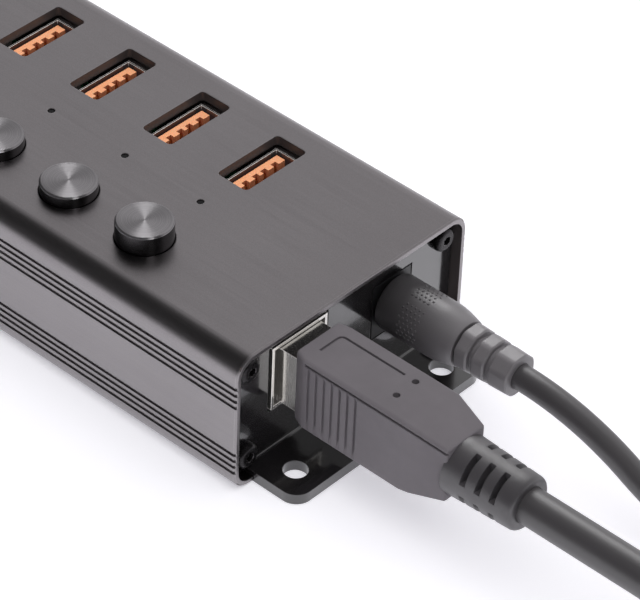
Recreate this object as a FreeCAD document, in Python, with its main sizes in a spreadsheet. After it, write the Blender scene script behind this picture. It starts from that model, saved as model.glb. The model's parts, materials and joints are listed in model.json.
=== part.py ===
import FreeCAD, Part
import math
import os
import Sketcher

# Seven-port desktop USB hub in an aluminium extrusion, with one latching
# power button per port, bolt-down end plates and its two leads plugged in.
# Millimetres. X runs along the hub, towards the end with the leads; Y runs
# across it, towards the row of ports; Z is up. The origin is the centre of
# the underside.

doc = FreeCAD.newDocument("usb_hub")
sheet = doc.addObject("Spreadsheet::Sheet", "Sizes")

SIZES = {
    # extrusion
    "hub_length": 154.0,
    "hub_width": 54.0,
    "hub_height": 26.8,
    "wall": 1.8,
    "corner_radius": 3.7,
    "edge_break": 0.3,
    "groove_width": 0.6,
    "groove_depth": 0.35,
    "groove_pitch": 1.25,
    "groove_count": 4,
    "upper_groove_z": 21.7,
    "lower_groove_z": 8.1,
    "rail_reach": 1.6,
    "rail_thickness": 1.2,
    "rail_play": 0.1,
    # end plates and their screws
    "rim_wall": 1.0,
    "seat_depth": 4.0,
    "plate_thickness": 2.0,
    "plate_gap": 0.15,
    "flange_reach": 9.5,
    "flange_width": 45.2,
    "flange_corner": 3.0,
    "bend_radius": 0.5,
    "mount_hole": 4.2,
    "mount_hole_reach": 4.4,
    "mount_hole_span": 35.0,
    "screw_span": 45.8,
    "screw_low_z": 4.8,
    "screw_high_z": 22.6,
    "screw_boss": 5.2,
    "screw_bore": 2.5,
    "screw_shank": 2.44,
    "screw_length": 8.0,
    "screw_clearance": 2.8,
    "head_diameter": 4.5,
    "head_height": 1.5,
    "head_round": 0.9,
    "hex_size": 1.5,
    "hex_depth": 0.9,
    # the repeated port, light and button
    "port_count": 7,
    "port_pitch": 17.25,
    "port_inset": 32.2,
    "port_row_y": 12.7,
    "port_long": 14.5,
    "port_short": 6.7,
    "port_corner": 0.8,
    "light_row_y": -1.8,
    "light_hole": 1.3,
    "pipe_diameter": 1.26,
    "led_width": 1.6,
    "led_height": 0.8,
    # circuit board
    "board_low_z": 8.8,
    "board_thickness": 1.6,
    "board_width": 49.8,
    "board_length": 145.2,
    "chip_side": 9.0,
    "chip_height": 0.9,
    "capacitor_diameter": 6.3,
    "capacitor_height": 5.4,
    # vertical USB-A sockets
    "socket_recess": 2.0,
    "socket_long": 13.0,
    "socket_short": 5.6,
    "socket_wall": 0.3,
    "tongue_long": 11.1,
    "tongue_thick": 1.84,
    "tongue_gap": 0.72,
    "tongue_recess": 0.4,
    "insulator_height": 4.6,
    "insulator_gap": 0.04,
    "contact_slot": 1.15,
    "contact_slot_depth": 0.85,
    "contact_width": 0.95,
    "contact_thick": 0.3,
    "contact_recess": 1.0,
    # latching push buttons
    "button_row_y": -14.6,
    "button_hole": 10.1,
    "cap_diameter": 9.75,
    "cap_length": 9.4,
    "cap_out": 3.6,
    "cap_chamfer": 0.3,
    "latch_travel": 1.5,
    "switch_side": 8.5,
    "switch_height": 8.0,
    "switch_wall": 1.0,
    "plunger_side": 3.0,
    "plunger_gap": 0.1,
    "plunger_grip": 5.0,
    "collar_diameter": 5.4,
    "collar_thick": 0.8,
    "collar_low_z": 16.0,
    "spring_diameter": 4.8,
    "spring_wire": 0.35,
    "spring_turns": 4.0,
    "spring_play": 0.02,
    # USB-B socket
    "usb_b_y": -10.7,
    "usb_b_width": 12.6,
    "usb_b_height": 12.6,
    "usb_b_depth": 17.0,
    "usb_b_wall": 0.5,
    "usb_b_proud": 0.3,
    "usb_b_cutout": 13.7,
    "usb_b_floor": 4.0,
    "usb_b_lining": 5.5,
    "usb_b_well_gap": 0.7,
    "usb_b_tongue": 11.0,
    "lower_tongue_width": 5.6,
    "lower_tongue_height": 3.0,
    "lower_tongue_drop": 1.6,
    "upper_tongue_width": 6.4,
    "upper_tongue_height": 1.5,
    "upper_tongue_rise": 2.6,
    "usb_b_contact_length": 8.0,
    "usb_b_contact_width": 1.0,
    "usb_b_contact_pitch": 2.5,
    "fast_contact_width": 0.6,
    "fast_contact_pitch": 1.2,
    "usb_b_contact_thick": 0.2,
    # DC power jack
    "dc_y": 11.4,
    "dc_width": 9.0,
    "dc_height": 10.6,
    "dc_depth": 13.0,
    "dc_axis_z": 16.5,
    "dc_bore": 6.3,
    "dc_cutout_gap": 0.25,
    "dc_pin": 2.0,
    "dc_floor": 2.0,
    "dc_pin_recess": 2.0,
    "dc_pin_seat": 0.5,
    "press_fit": 0.04,
    # USB plug and cable
    "nose_width": 9.4,
    "nose_height": 10.8,
    "nose_wall": 0.4,
    "nose_reach": 11.8,
    "nose_root": 3.0,
    "plug_width": 11.4,
    "plug_height": 14.2,
    "plug_length": 24.6,
    "plug_offset": 1.8,
    "plug_axis_z": 16.9,
    "plug_corner": 1.3,
    "taper_length": 6.4,
    "taper_width": 8.6,
    "taper_height": 10.4,
    "relief_length": 12.95,
    "relief_start_diameter": 10.6,
    "relief_end_diameter": 9.4,
    "relief_lip": 1.0,
    "relief_core_diameter": 8.0,
    "relief_rings": 3,
    "relief_slot": 1.1,
    "relief_slot_first": 3.1,
    "relief_slot_pitch": 2.85,
    "relief_slot_angle": 60.0,
    "grip_count": 7,
    "grip_first": 3.3,
    "grip_pitch": 1.64,
    "grip_depth": 0.45,
    "grip_width": 0.45,
    "usb_cable_diameter": 6.2,
    "usb_cable_bore": 4.6,
    "usb_cable_length": 38.0,
    "usb_core_diameter": 1.75,
    "core_stub": 5.0,
    # DC plug and cable
    "barrel_diameter": 5.5,
    "barrel_bore": 2.3,
    "barrel_length": 9.5,
    "barrel_root": 2.0,
    "grip_diameter": 10.0,
    "grip_length": 11.0,
    "grip_shoulder": 4.6,
    "neck_diameter": 7.8,
    "neck_core_diameter": 5.6,
    "collar_count": 3,
    "collar_length": 2.45,
    "end_collar_length": 3.7,
    "collar_taper": 0.16,
    "collar_step": 0.24,
    "collar_first_gap": 0.4,
    "collar_gap": 1.0,
    "dc_cable_diameter": 4.4,
    "dc_cable_bore": 3.0,
    "dc_cable_hold": 8.0,
    "dc_bend_radius": 50.0,
    "dc_bend_angle": 27.0,
    "dc_tail": 6.0,
    "dc_core_diameter": 1.4,
}


def fill_sheet():
    """One row per driving dimension: its name in column A, its value in B."""
    for row, (alias, number) in enumerate(SIZES.items(), start=1):
        sheet.set(f"A{row}", alias)
        sheet.set(f"B{row}", str(number))
        sheet.setAlias(f"B{row}", alias)
    doc.recompute()


fill_sheet()


def size(expression):
    """The number that an expression of sheet aliases gives."""
    result = sheet.evalExpression(expression)
    return float(getattr(result, "Value", result))


def linked(expression):
    """The same expression, as an object outside the sheet has to write it."""
    words = sorted(SIZES, key=len, reverse=True)
    text = expression
    for index, word in enumerate(words):
        text = text.replace(word, f"@{index}@")
    for index, word in enumerate(words):
        text = text.replace(f"@{index}@", f"Sizes.{word}")
    return text


def bind(thing, **expressions):
    for name, expression in expressions.items():
        thing.setExpression(name, linked(expression))
    return thing


def put(thing, x="0", y="0", z="0", rotation=None):
    """Place an object by three expressions and an optional fixed rotation."""
    if rotation is not None:
        thing.Placement = FreeCAD.Placement(FreeCAD.Vector(), rotation)
    for axis, expression in zip("xyz", (x, y, z)):
        thing.setExpression(f"Placement.Base.{axis}", linked(expression))
    return thing


ALONG_X = FreeCAD.Rotation(FreeCAD.Vector(0, 1, 0), 90)

# Named heights and ends, as expressions of the sheet.
END_X = "hub_length / 2"
PLATE_BACK_X = "(hub_length / 2 - seat_depth)"
PLATE_FRONT_X = "(hub_length / 2 - seat_depth + plate_thickness)"
BOARD_TOP_Z = "(board_low_z + board_thickness)"
SOCKET_TOP_Z = "(hub_height - socket_recess)"
FIRST_X = "(hub_length / 2 - port_inset)"
PORTS = range(1, 1 + int(SIZES["port_count"]))
LATCHED_PORTS = (2, 3)


def port_x(number):
    """The X of a port; port 1 is the nearest to the leads."""
    return f"({FIRST_X} - {number - 1} * port_pitch)"


# ---------------------------------------------------------------- Part tools

def box(name, length, width, height, x, y, z):
    """A box centred on x and y, standing on z."""
    solid = doc.addObject("Part::Box", name)
    bind(solid, Length=length, Width=width, Height=height)
    return put(solid, f"({x}) - ({length}) / 2", f"({y}) - ({width}) / 2", z)


def post(name, diameter, height, x, y, z):
    """An upright cylinder standing on z."""
    solid = doc.addObject("Part::Cylinder", name)
    bind(solid, Radius=f"({diameter}) / 2", Height=height)
    return put(solid, x, y, z)


def rod(name, diameter, length, x, y, z):
    """A cylinder lying along +X from x."""
    solid = doc.addObject("Part::Cylinder", name)
    bind(solid, Radius=f"({diameter}) / 2", Height=length)
    return put(solid, x, y, z, ALONG_X)


def cone(name, start_diameter, end_diameter, length, x, y, z):
    """A cone lying along +X from x."""
    solid = doc.addObject("Part::Cone", name)
    bind(solid, Radius1=f"({start_diameter}) / 2", Radius2=f"({end_diameter}) / 2", Height=length)
    return put(solid, x, y, z, ALONG_X)


def cut(name, base, tool):
    result = doc.addObject("Part::Cut", name)
    result.Base = base
    result.Tool = tool
    return result


def fuse(name, solids):
    result = doc.addObject("Part::MultiFuse", name)
    result.Shapes = solids
    return result


def group(name, solids):
    """Separate solids kept together under one name."""
    result = doc.addObject("Part::Compound", name)
    result.Links = solids
    return result


# -------------------------------------------------------- PartDesign helpers

def new_body(name):
    return doc.addObject("PartDesign::Body", name)


def sketch_on(body, role, name, offset="0"):
    """A sketch on one of the body's own origin planes, moved along its normal."""
    plane = next(item for item in body.Origin.OriginFeatures if item.Role == role)
    sketch = body.newObject("Sketcher::SketchObject", name)
    sketch.AttachmentSupport = [(plane, "")]
    sketch.MapMode = "FlatFace"
    sketch.setExpression("AttachmentOffset.Base.z", linked(offset))
    return sketch


def dimension(sketch, name, constraint, expression):
    index = sketch.addConstraint(constraint)
    sketch.renameConstraint(index, name)
    sketch.setExpression(f"Constraints.{name}", linked(expression))


def draw_rectangle(sketch, tag, width, height, u, v, radius=None):
    """A rectangle about (u, v), with round corners when a radius is given."""
    w, tall, mid_u, mid_v = (size(text) for text in (width, height, u, v))
    r = size(radius) if radius else 0.0
    left, right = mid_u - w / 2, mid_u + w / 2
    low, high = mid_v - tall / 2, mid_v + tall / 2
    point = lambda a, b: FreeCAD.Vector(a, b, 0)
    first = sketch.GeometryCount
    sketch.addGeometry([
        Part.LineSegment(point(left + r, low), point(right - r, low)),
        Part.LineSegment(point(right, low + r), point(right, high - r)),
        Part.LineSegment(point(right - r, high), point(left + r, high)),
        Part.LineSegment(point(left, high - r), point(left, low + r)),
    ], False)
    if radius:
        centres = (point(right - r, low + r), point(right - r, high - r),
                   point(left + r, high - r), point(left + r, low + r))
        for turn, centre in enumerate(centres):
            start = math.radians(-90 + 90 * turn)
            circle = Part.Circle(centre, FreeCAD.Vector(0, 0, 1), r)
            sketch.addGeometry(Part.ArcOfCircle(circle, start, start + math.pi / 2), False)
    for side in range(4):
        following = first + (side + 1) % 4
        if radius:
            arc = first + 4 + side
            sketch.addConstraint(Sketcher.Constraint("Tangent", first + side, 2, arc, 1))
            sketch.addConstraint(Sketcher.Constraint("Tangent", arc, 2, following, 1))
        else:
            sketch.addConstraint(Sketcher.Constraint("Coincident", first + side, 2, following, 1))
        kind = "Horizontal" if side % 2 == 0 else "Vertical"
        sketch.addConstraint(Sketcher.Constraint(kind, first + side))
    if radius:
        for arc in range(first + 5, first + 8):
            sketch.addConstraint(Sketcher.Constraint("Equal", first + 4, arc))
        dimension(sketch, f"{tag}_radius", Sketcher.Constraint("Radius", first + 4, r), radius)
    left_line, right_line, low_line, high_line = first + 3, first + 1, first, first + 2
    dimension(sketch, f"{tag}_width",
              Sketcher.Constraint("DistanceX", left_line, 1, right_line, 1, w), width)
    dimension(sketch, f"{tag}_height",
              Sketcher.Constraint("DistanceY", low_line, 1, high_line, 1, tall), height)
    dimension(sketch, f"{tag}_left",
              Sketcher.Constraint("DistanceX", -1, 1, left_line, 1, left),
              f"({u}) - ({width}) / 2")
    dimension(sketch, f"{tag}_low",
              Sketcher.Constraint("DistanceY", -1, 1, low_line, 1, low),
              f"({v}) - ({height}) / 2")


def draw_circle(sketch, tag, diameter, u, v):
    centre = FreeCAD.Vector(size(u), size(v), 0)
    item = sketch.addGeometry(
        Part.Circle(centre, FreeCAD.Vector(0, 0, 1), size(diameter) / 2), False)
    dimension(sketch, f"{tag}_diameter",
              Sketcher.Constraint("Diameter", item, size(diameter)), diameter)
    dimension(sketch, f"{tag}_u", Sketcher.Constraint("DistanceX", -1, 1, item, 3, centre.x), u)
    dimension(sketch, f"{tag}_v", Sketcher.Constraint("DistanceY", -1, 1, item, 3, centre.y), v)


def extrude(body, kind, sketch, length, name):
    """A Pad goes along the sketch's normal, a Pocket against it."""
    feature = body.newObject(f"PartDesign::{kind}", name)
    feature.Profile = sketch
    bind(feature, Length=length)
    sketch.Visibility = False
    doc.recompute()
    return feature


def edges_where(feature, test):
    return [f"Edge{number}" for number, edge in enumerate(feature.Shape.Edges, start=1)
            if test(edge)]


def round_edges(body, kind, feature, test, amount, name):
    """A Fillet or Chamfer on the edges that pass a test."""
    result = body.newObject(f"PartDesign::{kind}", name)
    result.Base = (feature, edges_where(feature, test))
    bind(result, **{"Radius" if kind == "Fillet" else "Size": amount})
    doc.recompute()
    return result


def edge_runs(edge, axis):
    """True for an edge whose two ends differ along one axis only."""
    if len(edge.Vertexes) != 2:
        return False
    span = edge.Vertexes[1].Point.sub(edge.Vertexes[0].Point)
    parts = [abs(span.x), abs(span.y), abs(span.z)]
    return parts["xyz".index(axis)] > 1e-6 and sum(parts) - parts["xyz".index(axis)] < 1e-6


# ------------------------------------------------------------------ extrusion

def make_housing():
    """The one-piece extrusion, its milled end seats and its top cut-outs."""
    body = new_body("housing")
    half = size(END_X)

    outline = sketch_on(body, "YZ_Plane", "housing_outline", f"-{END_X}")
    draw_rectangle(outline, "outer", "hub_width", "hub_height", "0", "hub_height / 2",
                   "corner_radius")
    block = extrude(body, "Pad", outline, "hub_length", "housing_block")
    broken = round_edges(
        body, "Chamfer", block,
        lambda edge: all(abs(abs(v.Point.x) - half) < 1e-6 for v in edge.Vertexes),
        "edge_break", "housing_edge_break")

    grooves = sketch_on(body, "YZ_Plane", "groove_outline", f"{END_X} + 1")
    for side, sign in (("front", "-"), ("back", "")):
        for level in ("upper", "lower"):
            for step in range(int(SIZES["groove_count"])):
                draw_rectangle(grooves, f"{side}_{level}_{step}", "groove_depth * 2",
                               "groove_width", f"{sign}hub_width / 2",
                               f"{level}_groove_z - {step} * groove_pitch")
    extrude(body, "Pocket", grooves, "hub_length + 2", "housing_grooves")

    cavity = sketch_on(body, "YZ_Plane", "cavity_outline", f"{END_X} + 1")
    draw_rectangle(cavity, "cavity", "hub_width - 2 * wall", "hub_height - 2 * wall",
                   "0", "hub_height / 2", "corner_radius - wall")
    extrude(body, "Pocket", cavity, "hub_length + 2", "housing_cavity")

    ribs = sketch_on(body, "YZ_Plane", "rib_outline", f"seat_depth - {END_X}")
    for side, sign in (("front", "-"), ("back", "")):
        for level, z in (("low", "board_low_z - rail_play - rail_thickness / 2"),
                         ("high", f"{BOARD_TOP_Z} + rail_play + rail_thickness / 2")):
            draw_rectangle(ribs, f"{side}_{level}", "rail_reach + wall / 2", "rail_thickness",
                           f"{sign}(hub_width / 2 - wall / 2 - rail_reach / 2 - wall / 4)", z)
    extrude(body, "Pad", ribs, "hub_length - 2 * seat_depth", "board_rails")

    for side, sign in (("front", "-"), ("back", "")):
        for level in ("low", "high"):
            tag = f"{side}_{level}"
            boss = sketch_on(body, "YZ_Plane", f"boss_{tag}", f"seat_depth - {END_X}")
            draw_circle(boss, tag, "screw_boss", f"{sign}screw_span / 2", f"screw_{level}_z")
            extrude(body, "Pad", boss, "hub_length - 2 * seat_depth", f"screw_channel_{tag}")
    bores = sketch_on(body, "YZ_Plane", "bore_outline", f"{END_X} + 1")
    for side, sign in (("front", "-"), ("back", "")):
        for level in ("low", "high"):
            draw_circle(bores, f"{side}_{level}", "screw_bore", f"{sign}screw_span / 2",
                        f"screw_{level}_z")
    extrude(body, "Pocket", bores, "hub_length + 2", "screw_bores")

    for end, offset in (("lead", END_X), ("blank", f"seat_depth - {END_X}")):
        seat = sketch_on(body, "YZ_Plane", f"{end}_seat_outline", offset)
        draw_rectangle(seat, "seat", "hub_width - 2 * rim_wall", "hub_height - 2 * rim_wall",
                       "0", "hub_height / 2", "corner_radius - rim_wall")
        extrude(body, "Pocket", seat, "seat_depth", f"{end}_plate_seat")

    notches = sketch_on(body, "XY_Plane", "notch_outline", "plate_thickness")
    for end, sign in (("lead", ""), ("blank", "-")):
        draw_rectangle(notches, end, "seat_depth + 1", "flange_width + 2 * plate_gap",
                       f"{sign}({END_X} - seat_depth / 2 + 0.5)", "0")
    extrude(body, "Pocket", notches, "plate_thickness + 1", "flange_notches")

    last_x = port_x(int(SIZES["port_count"]))
    openings = sketch_on(body, "XY_Plane", "opening_outline", "hub_height + 1")
    draw_rectangle(openings, "port", "port_short", "port_long", last_x, "port_row_y",
                   "port_corner")
    draw_circle(openings, "light", "light_hole", last_x, "light_row_y")
    draw_circle(openings, "button", "button_hole", last_x, "button_row_y")
    first_set = extrude(body, "Pocket", openings, "wall + 2", "top_openings")

    row = body.newObject("PartDesign::LinearPattern", "top_opening_row")
    row.Originals = [first_set]
    row.Direction = (openings, ["H_Axis"])
    bind(row, Length="port_pitch * (port_count - 1)", Occurrences="port_count")
    body.Tip = row
    doc.recompute()
    return body


# ----------------------------------------------------------------- end plates

def make_end_plate(name, with_sockets):
    """A bent plate: a face inside the rim and a flange with two mounting holes."""
    body = new_body(name)
    face = sketch_on(body, "YZ_Plane", f"{name}_face_outline", PLATE_BACK_X)
    draw_rectangle(face, "face", "hub_width - 2 * rim_wall - 2 * plate_gap",
                   "hub_height - 2 * rim_wall - 2 * plate_gap", "0", "hub_height / 2",
                   "corner_radius - rim_wall - plate_gap")
    extrude(body, "Pad", face, "plate_thickness", f"{name}_face")

    flange = sketch_on(body, "XY_Plane", f"{name}_flange_outline")
    draw_rectangle(flange, "flange", "flange_reach + seat_depth", "flange_width",
                   f"{PLATE_BACK_X} + (flange_reach + seat_depth) / 2", "0")
    bent = extrude(body, "Pad", flange, "plate_thickness", f"{name}_flange")

    outer_x = size(f"{END_X} + flange_reach")
    rounded = round_edges(
        body, "Fillet", bent,
        lambda edge: edge_runs(edge, "z") and abs(edge.Vertexes[0].Point.x - outer_x) < 1e-6,
        "flange_corner", f"{name}_flange_corners")

    front_x = size(PLATE_FRONT_X)
    fold_z = size("plate_thickness")
    folded = round_edges(
        body, "Fillet", rounded,
        lambda edge: (edge_runs(edge, "y")
                      and abs(edge.Vertexes[0].Point.x - front_x) < 1e-6
                      and abs(edge.Vertexes[0].Point.z - fold_z) < 1e-6),
        "bend_radius", f"{name}_inner_bend")
    back_x = size(PLATE_BACK_X)
    round_edges(
        body, "Fillet", folded,
        lambda edge: (edge_runs(edge, "y")
                      and abs(edge.Vertexes[0].Point.x - back_x) < 1e-6
                      and abs(edge.Vertexes[0].Point.z) < 1e-6),
        "bend_radius", f"{name}_outer_bend")

    drill = sketch_on(body, "XY_Plane", f"{name}_mount_holes", "plate_thickness + 1")
    for side, sign in (("front", "-"), ("back", "")):
        draw_circle(drill, side, "mount_hole", f"{END_X} + mount_hole_reach",
                    f"{sign}mount_hole_span / 2")
    extrude(body, "Pocket", drill, "plate_thickness + 2", f"{name}_mounting")

    holes = sketch_on(body, "YZ_Plane", f"{name}_face_holes", f"{PLATE_FRONT_X} + 0.5")
    for side, sign in (("front", "-"), ("back", "")):
        for level in ("low", "high"):
            draw_circle(holes, f"{side}_{level}", "screw_clearance", f"{sign}screw_span / 2",
                        f"screw_{level}_z")
    if with_sockets:
        draw_rectangle(holes, "usb_b", "usb_b_cutout", "usb_b_cutout", "usb_b_y",
                       f"{BOARD_TOP_Z} + usb_b_height / 2", "port_corner")
        draw_rectangle(holes, "dc", "dc_width + 2 * dc_cutout_gap",
                       "dc_height + 2 * dc_cutout_gap", "dc_y",
                       f"{BOARD_TOP_Z} + dc_height / 2")
    extrude(body, "Pocket", holes, "plate_thickness + 1", f"{name}_openings")
    return body


def make_screw(name, y, z):
    """A button-head screw along X, with a hexagon socket in its head."""
    head = new_body(f"{name}_head")
    outline = sketch_on(head, "YZ_Plane", f"{name}_head_outline", PLATE_FRONT_X)
    draw_circle(outline, "head", "head_diameter", y, z)
    disc = extrude(head, "Pad", outline, "head_height", f"{name}_disc")
    top_x = size(f"{PLATE_FRONT_X} + head_height")
    round_edges(head, "Fillet", disc,
                lambda edge: abs(edge.Vertexes[0].Point.x - top_x) < 1e-6 and edge.Closed,
                "head_round", f"{name}_dome")
    socket = doc.addObject("Part::Prism", f"{name}_socket")
    socket.Polygon = 6
    bind(socket, Circumradius="hex_size / sqrt(3)", Height="hex_depth + 1")
    put(socket, f"{PLATE_FRONT_X} + head_height - hex_depth", y, z, ALONG_X)
    shank = rod(f"{name}_shank", "screw_shank", "screw_length",
                f"{PLATE_FRONT_X} - screw_length", y, z)
    driven = cut(f"{name}_driven_head", head, socket)
    return fuse(name, [driven, shank])


def make_screw_set(name):
    """The four screws of one end plate."""
    screws = []
    for side, sign in (("front", "-"), ("back", "")):
        for level in ("low", "high"):
            screws.append(make_screw(f"{name}_{side}_{level}", f"{sign}screw_span / 2",
                                     f"screw_{level}_z"))
    return group(name, screws)


def turn_to_blank_end(thing):
    """Carry a piece made for the lead end round to the other end."""
    thing.Placement = FreeCAD.Placement(
        FreeCAD.Vector(), FreeCAD.Rotation(FreeCAD.Vector(0, 0, 1), 180))
    return thing


# ---------------------------------------------------------------- electronics

def make_board():
    return box("main_board", "board_length", "board_width", "board_thickness",
               "0", "0", "board_low_z")


def make_board_chips():
    """Two hub controllers under the board and a capacitor beside each port."""
    pieces = []
    for number, x in enumerate(("-port_pitch * 1.5", "port_pitch * 1.5"), start=1):
        pieces.append(box(f"controller_{number}", "chip_side", "chip_side", "chip_height",
                          x, "0", "board_low_z - chip_height"))
    for number in PORTS[:-1]:
        pieces.append(post(f"capacitor_{number}", "capacitor_diameter", "capacitor_height",
                           f"{port_x(number)} - port_pitch / 2", "port_row_y",
                           BOARD_TOP_Z))
    return group("board_chips", pieces)


def make_status_leds():
    return group("status_leds", [
        box(f"led_{number}", "led_width", "led_width", "led_height", port_x(number),
            "light_row_y", BOARD_TOP_Z) for number in PORTS])


def make_light_pipes():
    """A clear rod from each light up to its hole in the top face."""
    return group("light_pipes", [
        post(f"light_pipe_{number}", "pipe_diameter",
             f"hub_height - 0.15 - {BOARD_TOP_Z} - led_height", port_x(number),
             "light_row_y", f"{BOARD_TOP_Z} + led_height") for number in PORTS])


# --------------------------------------------------------------- USB-A sockets

SOCKET_HEIGHT = f"({SOCKET_TOP_Z} - {BOARD_TOP_Z})"
TONGUE_X = "(-socket_short / 2 + socket_wall + tongue_gap + tongue_thick / 2)"
CONTACT_OFFSETS = (-3.5, -1.0, 1.0, 3.5)


def make_socket_shell(number):
    """The folded metal shell of one upright socket, open at top and bottom."""
    name = f"usb_a_shell_{number}"
    x = port_x(number)
    outer = box(f"{name}_outer", "socket_short", "socket_long", SOCKET_HEIGHT, x,
                "port_row_y", BOARD_TOP_Z)
    inner = box(f"{name}_inner", "socket_short - 2 * socket_wall",
                "socket_long - 2 * socket_wall", f"{SOCKET_HEIGHT} + 2", x, "port_row_y",
                f"{BOARD_TOP_Z} - 1")
    return cut(name, outer, inner)


def make_socket_tongue(number):
    """The coloured insulator: a base block and a tongue with four contact slots."""
    name = f"usb_a_tongue_{number}"
    x = port_x(number)
    base = box(f"{name}_base", "socket_short - 2 * socket_wall - 2 * insulator_gap",
               "socket_long - 2 * socket_wall - 2 * insulator_gap", "insulator_height", x,
               "port_row_y", BOARD_TOP_Z)
    blade = box(f"{name}_blade", "tongue_thick", "tongue_long",
                f"{SOCKET_HEIGHT} - tongue_recess", f"{x} + {TONGUE_X}", "port_row_y",
                BOARD_TOP_Z)
    slots = [box(f"{name}_slot_{index}", "contact_slot_depth * 2", "contact_slot",
                 SOCKET_HEIGHT, f"{x} + {TONGUE_X} + tongue_thick / 2",
                 f"port_row_y + {offset}", f"{BOARD_TOP_Z} + insulator_height")
             for index, offset in enumerate(CONTACT_OFFSETS, start=1)]
    return cut(name, fuse(f"{name}_solid", [base, blade]), fuse(f"{name}_slots", slots))


def make_socket_contacts():
    """The four flat contacts of every socket, lying in the slots of its tongue."""
    strips = []
    for number in PORTS:
        middle = (f"{port_x(number)} + {TONGUE_X} + tongue_thick / 2"
                  " - contact_slot_depth + contact_thick / 2")
        for index, offset in enumerate(CONTACT_OFFSETS, start=1):
            strips.append(box(f"contact_{number}_{index}", "contact_thick", "contact_width",
                              f"{SOCKET_HEIGHT} - insulator_height - tongue_recess"
                              " - contact_recess", middle, f"port_row_y + {offset}",
                              f"{BOARD_TOP_Z} + insulator_height"))
    return group("usb_a_contacts", strips)


# -------------------------------------------------------------- push buttons

def button_drop(number):
    """How far a button stands below its released height."""
    return "latch_travel" if number in LATCHED_PORTS else "0"


def make_button_cap(number):
    """A turned cap with a square socket underneath for the switch plunger."""
    name = f"button_cap_{number}"
    low_z = f"(hub_height + cap_out - cap_length - {button_drop(number)})"
    body = new_body(name)
    outline = sketch_on(body, "XY_Plane", f"{name}_outline", low_z)
    draw_circle(outline, "cap", "cap_diameter", port_x(number), "button_row_y")
    disc = extrude(body, "Pad", outline, "cap_length", f"{name}_disc")
    top_z = size(f"{low_z} + cap_length")
    round_edges(body, "Chamfer", disc,
                lambda edge: edge.Closed and abs(edge.Vertexes[0].Point.z - top_z) < 1e-6,
                "cap_chamfer", f"{name}_chamfer")
    socket = sketch_on(body, "XY_Plane", f"{name}_socket", f"{low_z} + plunger_grip")
    draw_rectangle(socket, "socket", "plunger_side + 0.04", "plunger_side + 0.04",
                   port_x(number), "button_row_y")
    extrude(body, "Pocket", socket, "plunger_grip + 1", f"{name}_pocket")
    return body


def make_plunger(number):
    """The square plunger, with the collar that its spring pushes up."""
    name = f"switch_plunger_{number}"
    drop = button_drop(number)
    collar_z = f"(collar_low_z - {drop})"
    stem = box(f"{name}_stem", "plunger_side", "plunger_side",
               f"hub_height + cap_out - cap_length + plunger_grip - 0.05 - collar_low_z",
               port_x(number), "button_row_y", collar_z)
    collar = post(f"{name}_collar", "collar_diameter", "collar_thick", port_x(number),
                  "button_row_y", collar_z)
    return fuse(name, [stem, collar])


def make_spring(number):
    """The coil under the collar: half turns tipped to and fro, end to end."""
    name = f"switch_spring_{number}"
    rise = (f"(collar_low_z - {button_drop(number)} - {BOARD_TOP_Z} - switch_wall"
            " - spring_wire - 2 * spring_play)")
    radius = "((spring_diameter - spring_wire) / 2)"
    quarter_pitch = f"({rise} / spring_turns / 4)"
    tilt = math.degrees(math.atan2(size(quarter_pitch), size(radius)))
    halves = []
    for step in range(2 * int(SIZES["spring_turns"])):
        half = doc.addObject("Part::Torus", f"{name}_half_{step}")
        half.Angle3 = 180
        bind(half, Radius1=f"sqrt({radius} * {radius} + {quarter_pitch} * {quarter_pitch})",
             Radius2="spring_wire / 2")
        tip = FreeCAD.Rotation(FreeCAD.Vector(0, 1, 0), tilt if step % 2 == 0 else -tilt)
        face = FreeCAD.Rotation(FreeCAD.Vector(0, 0, 1), 180 * (step % 2))
        put(half, port_x(number), "button_row_y",
            f"{BOARD_TOP_Z} + switch_wall + spring_play + spring_wire / 2"
            f" + {quarter_pitch} * {2 * step + 1}", tip.multiply(face))
        halves.append(half)
    return fuse(name, halves)


def make_switch_bodies():
    """The seven switch cases, each hollow round its plunger and spring."""
    cases = []
    for number in PORTS:
        name = f"switch_{number}"
        x = port_x(number)
        case = box(f"{name}_case", "switch_side", "switch_side", "switch_height", x,
                   "button_row_y", BOARD_TOP_Z)
        chamber = post(f"{name}_chamber", "switch_side - 2 * switch_wall",
                       "switch_height - 2 * switch_wall", x, "button_row_y",
                       f"{BOARD_TOP_Z} + switch_wall")
        mouth = box(f"{name}_mouth", "plunger_side + 2 * plunger_gap",
                    "plunger_side + 2 * plunger_gap", "switch_height", x, "button_row_y",
                    f"{BOARD_TOP_Z} + 2 * switch_wall")
        cases.append(cut(name, case, fuse(f"{name}_hollow", [chamber, mouth])))
    return group("switch_bodies", cases)


# ---------------------------------------------------------- USB-B socket, jack

USB_B_FRONT_X = f"({PLATE_FRONT_X} + usb_b_proud)"
USB_B_MID_Z = f"({BOARD_TOP_Z} + usb_b_height / 2)"
USB_B_TONGUE_X = f"({USB_B_FRONT_X} - usb_b_depth + usb_b_floor)"
DC_JACK_BACK_X = f"({PLATE_FRONT_X} - dc_depth)"


def lying_box(name, length, width, height, x, y, z):
    """A box that starts at x and is centred on y and z."""
    solid = doc.addObject("Part::Box", name)
    bind(solid, Length=length, Width=width, Height=height)
    return put(solid, x, f"({y}) - ({width}) / 2", f"({z}) - ({height}) / 2")


def make_usb_b_shell():
    outer = lying_box("usb_b_outer", "usb_b_depth", "usb_b_width", "usb_b_height",
                      f"{USB_B_FRONT_X} - usb_b_depth", "usb_b_y", USB_B_MID_Z)
    inner = lying_box("usb_b_inner", "usb_b_depth", "usb_b_width - 2 * usb_b_wall",
                      "usb_b_height - 2 * usb_b_wall",
                      f"{USB_B_FRONT_X} - usb_b_depth + usb_b_wall", "usb_b_y", USB_B_MID_Z)
    return cut("usb_b_shell", outer, inner)


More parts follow.
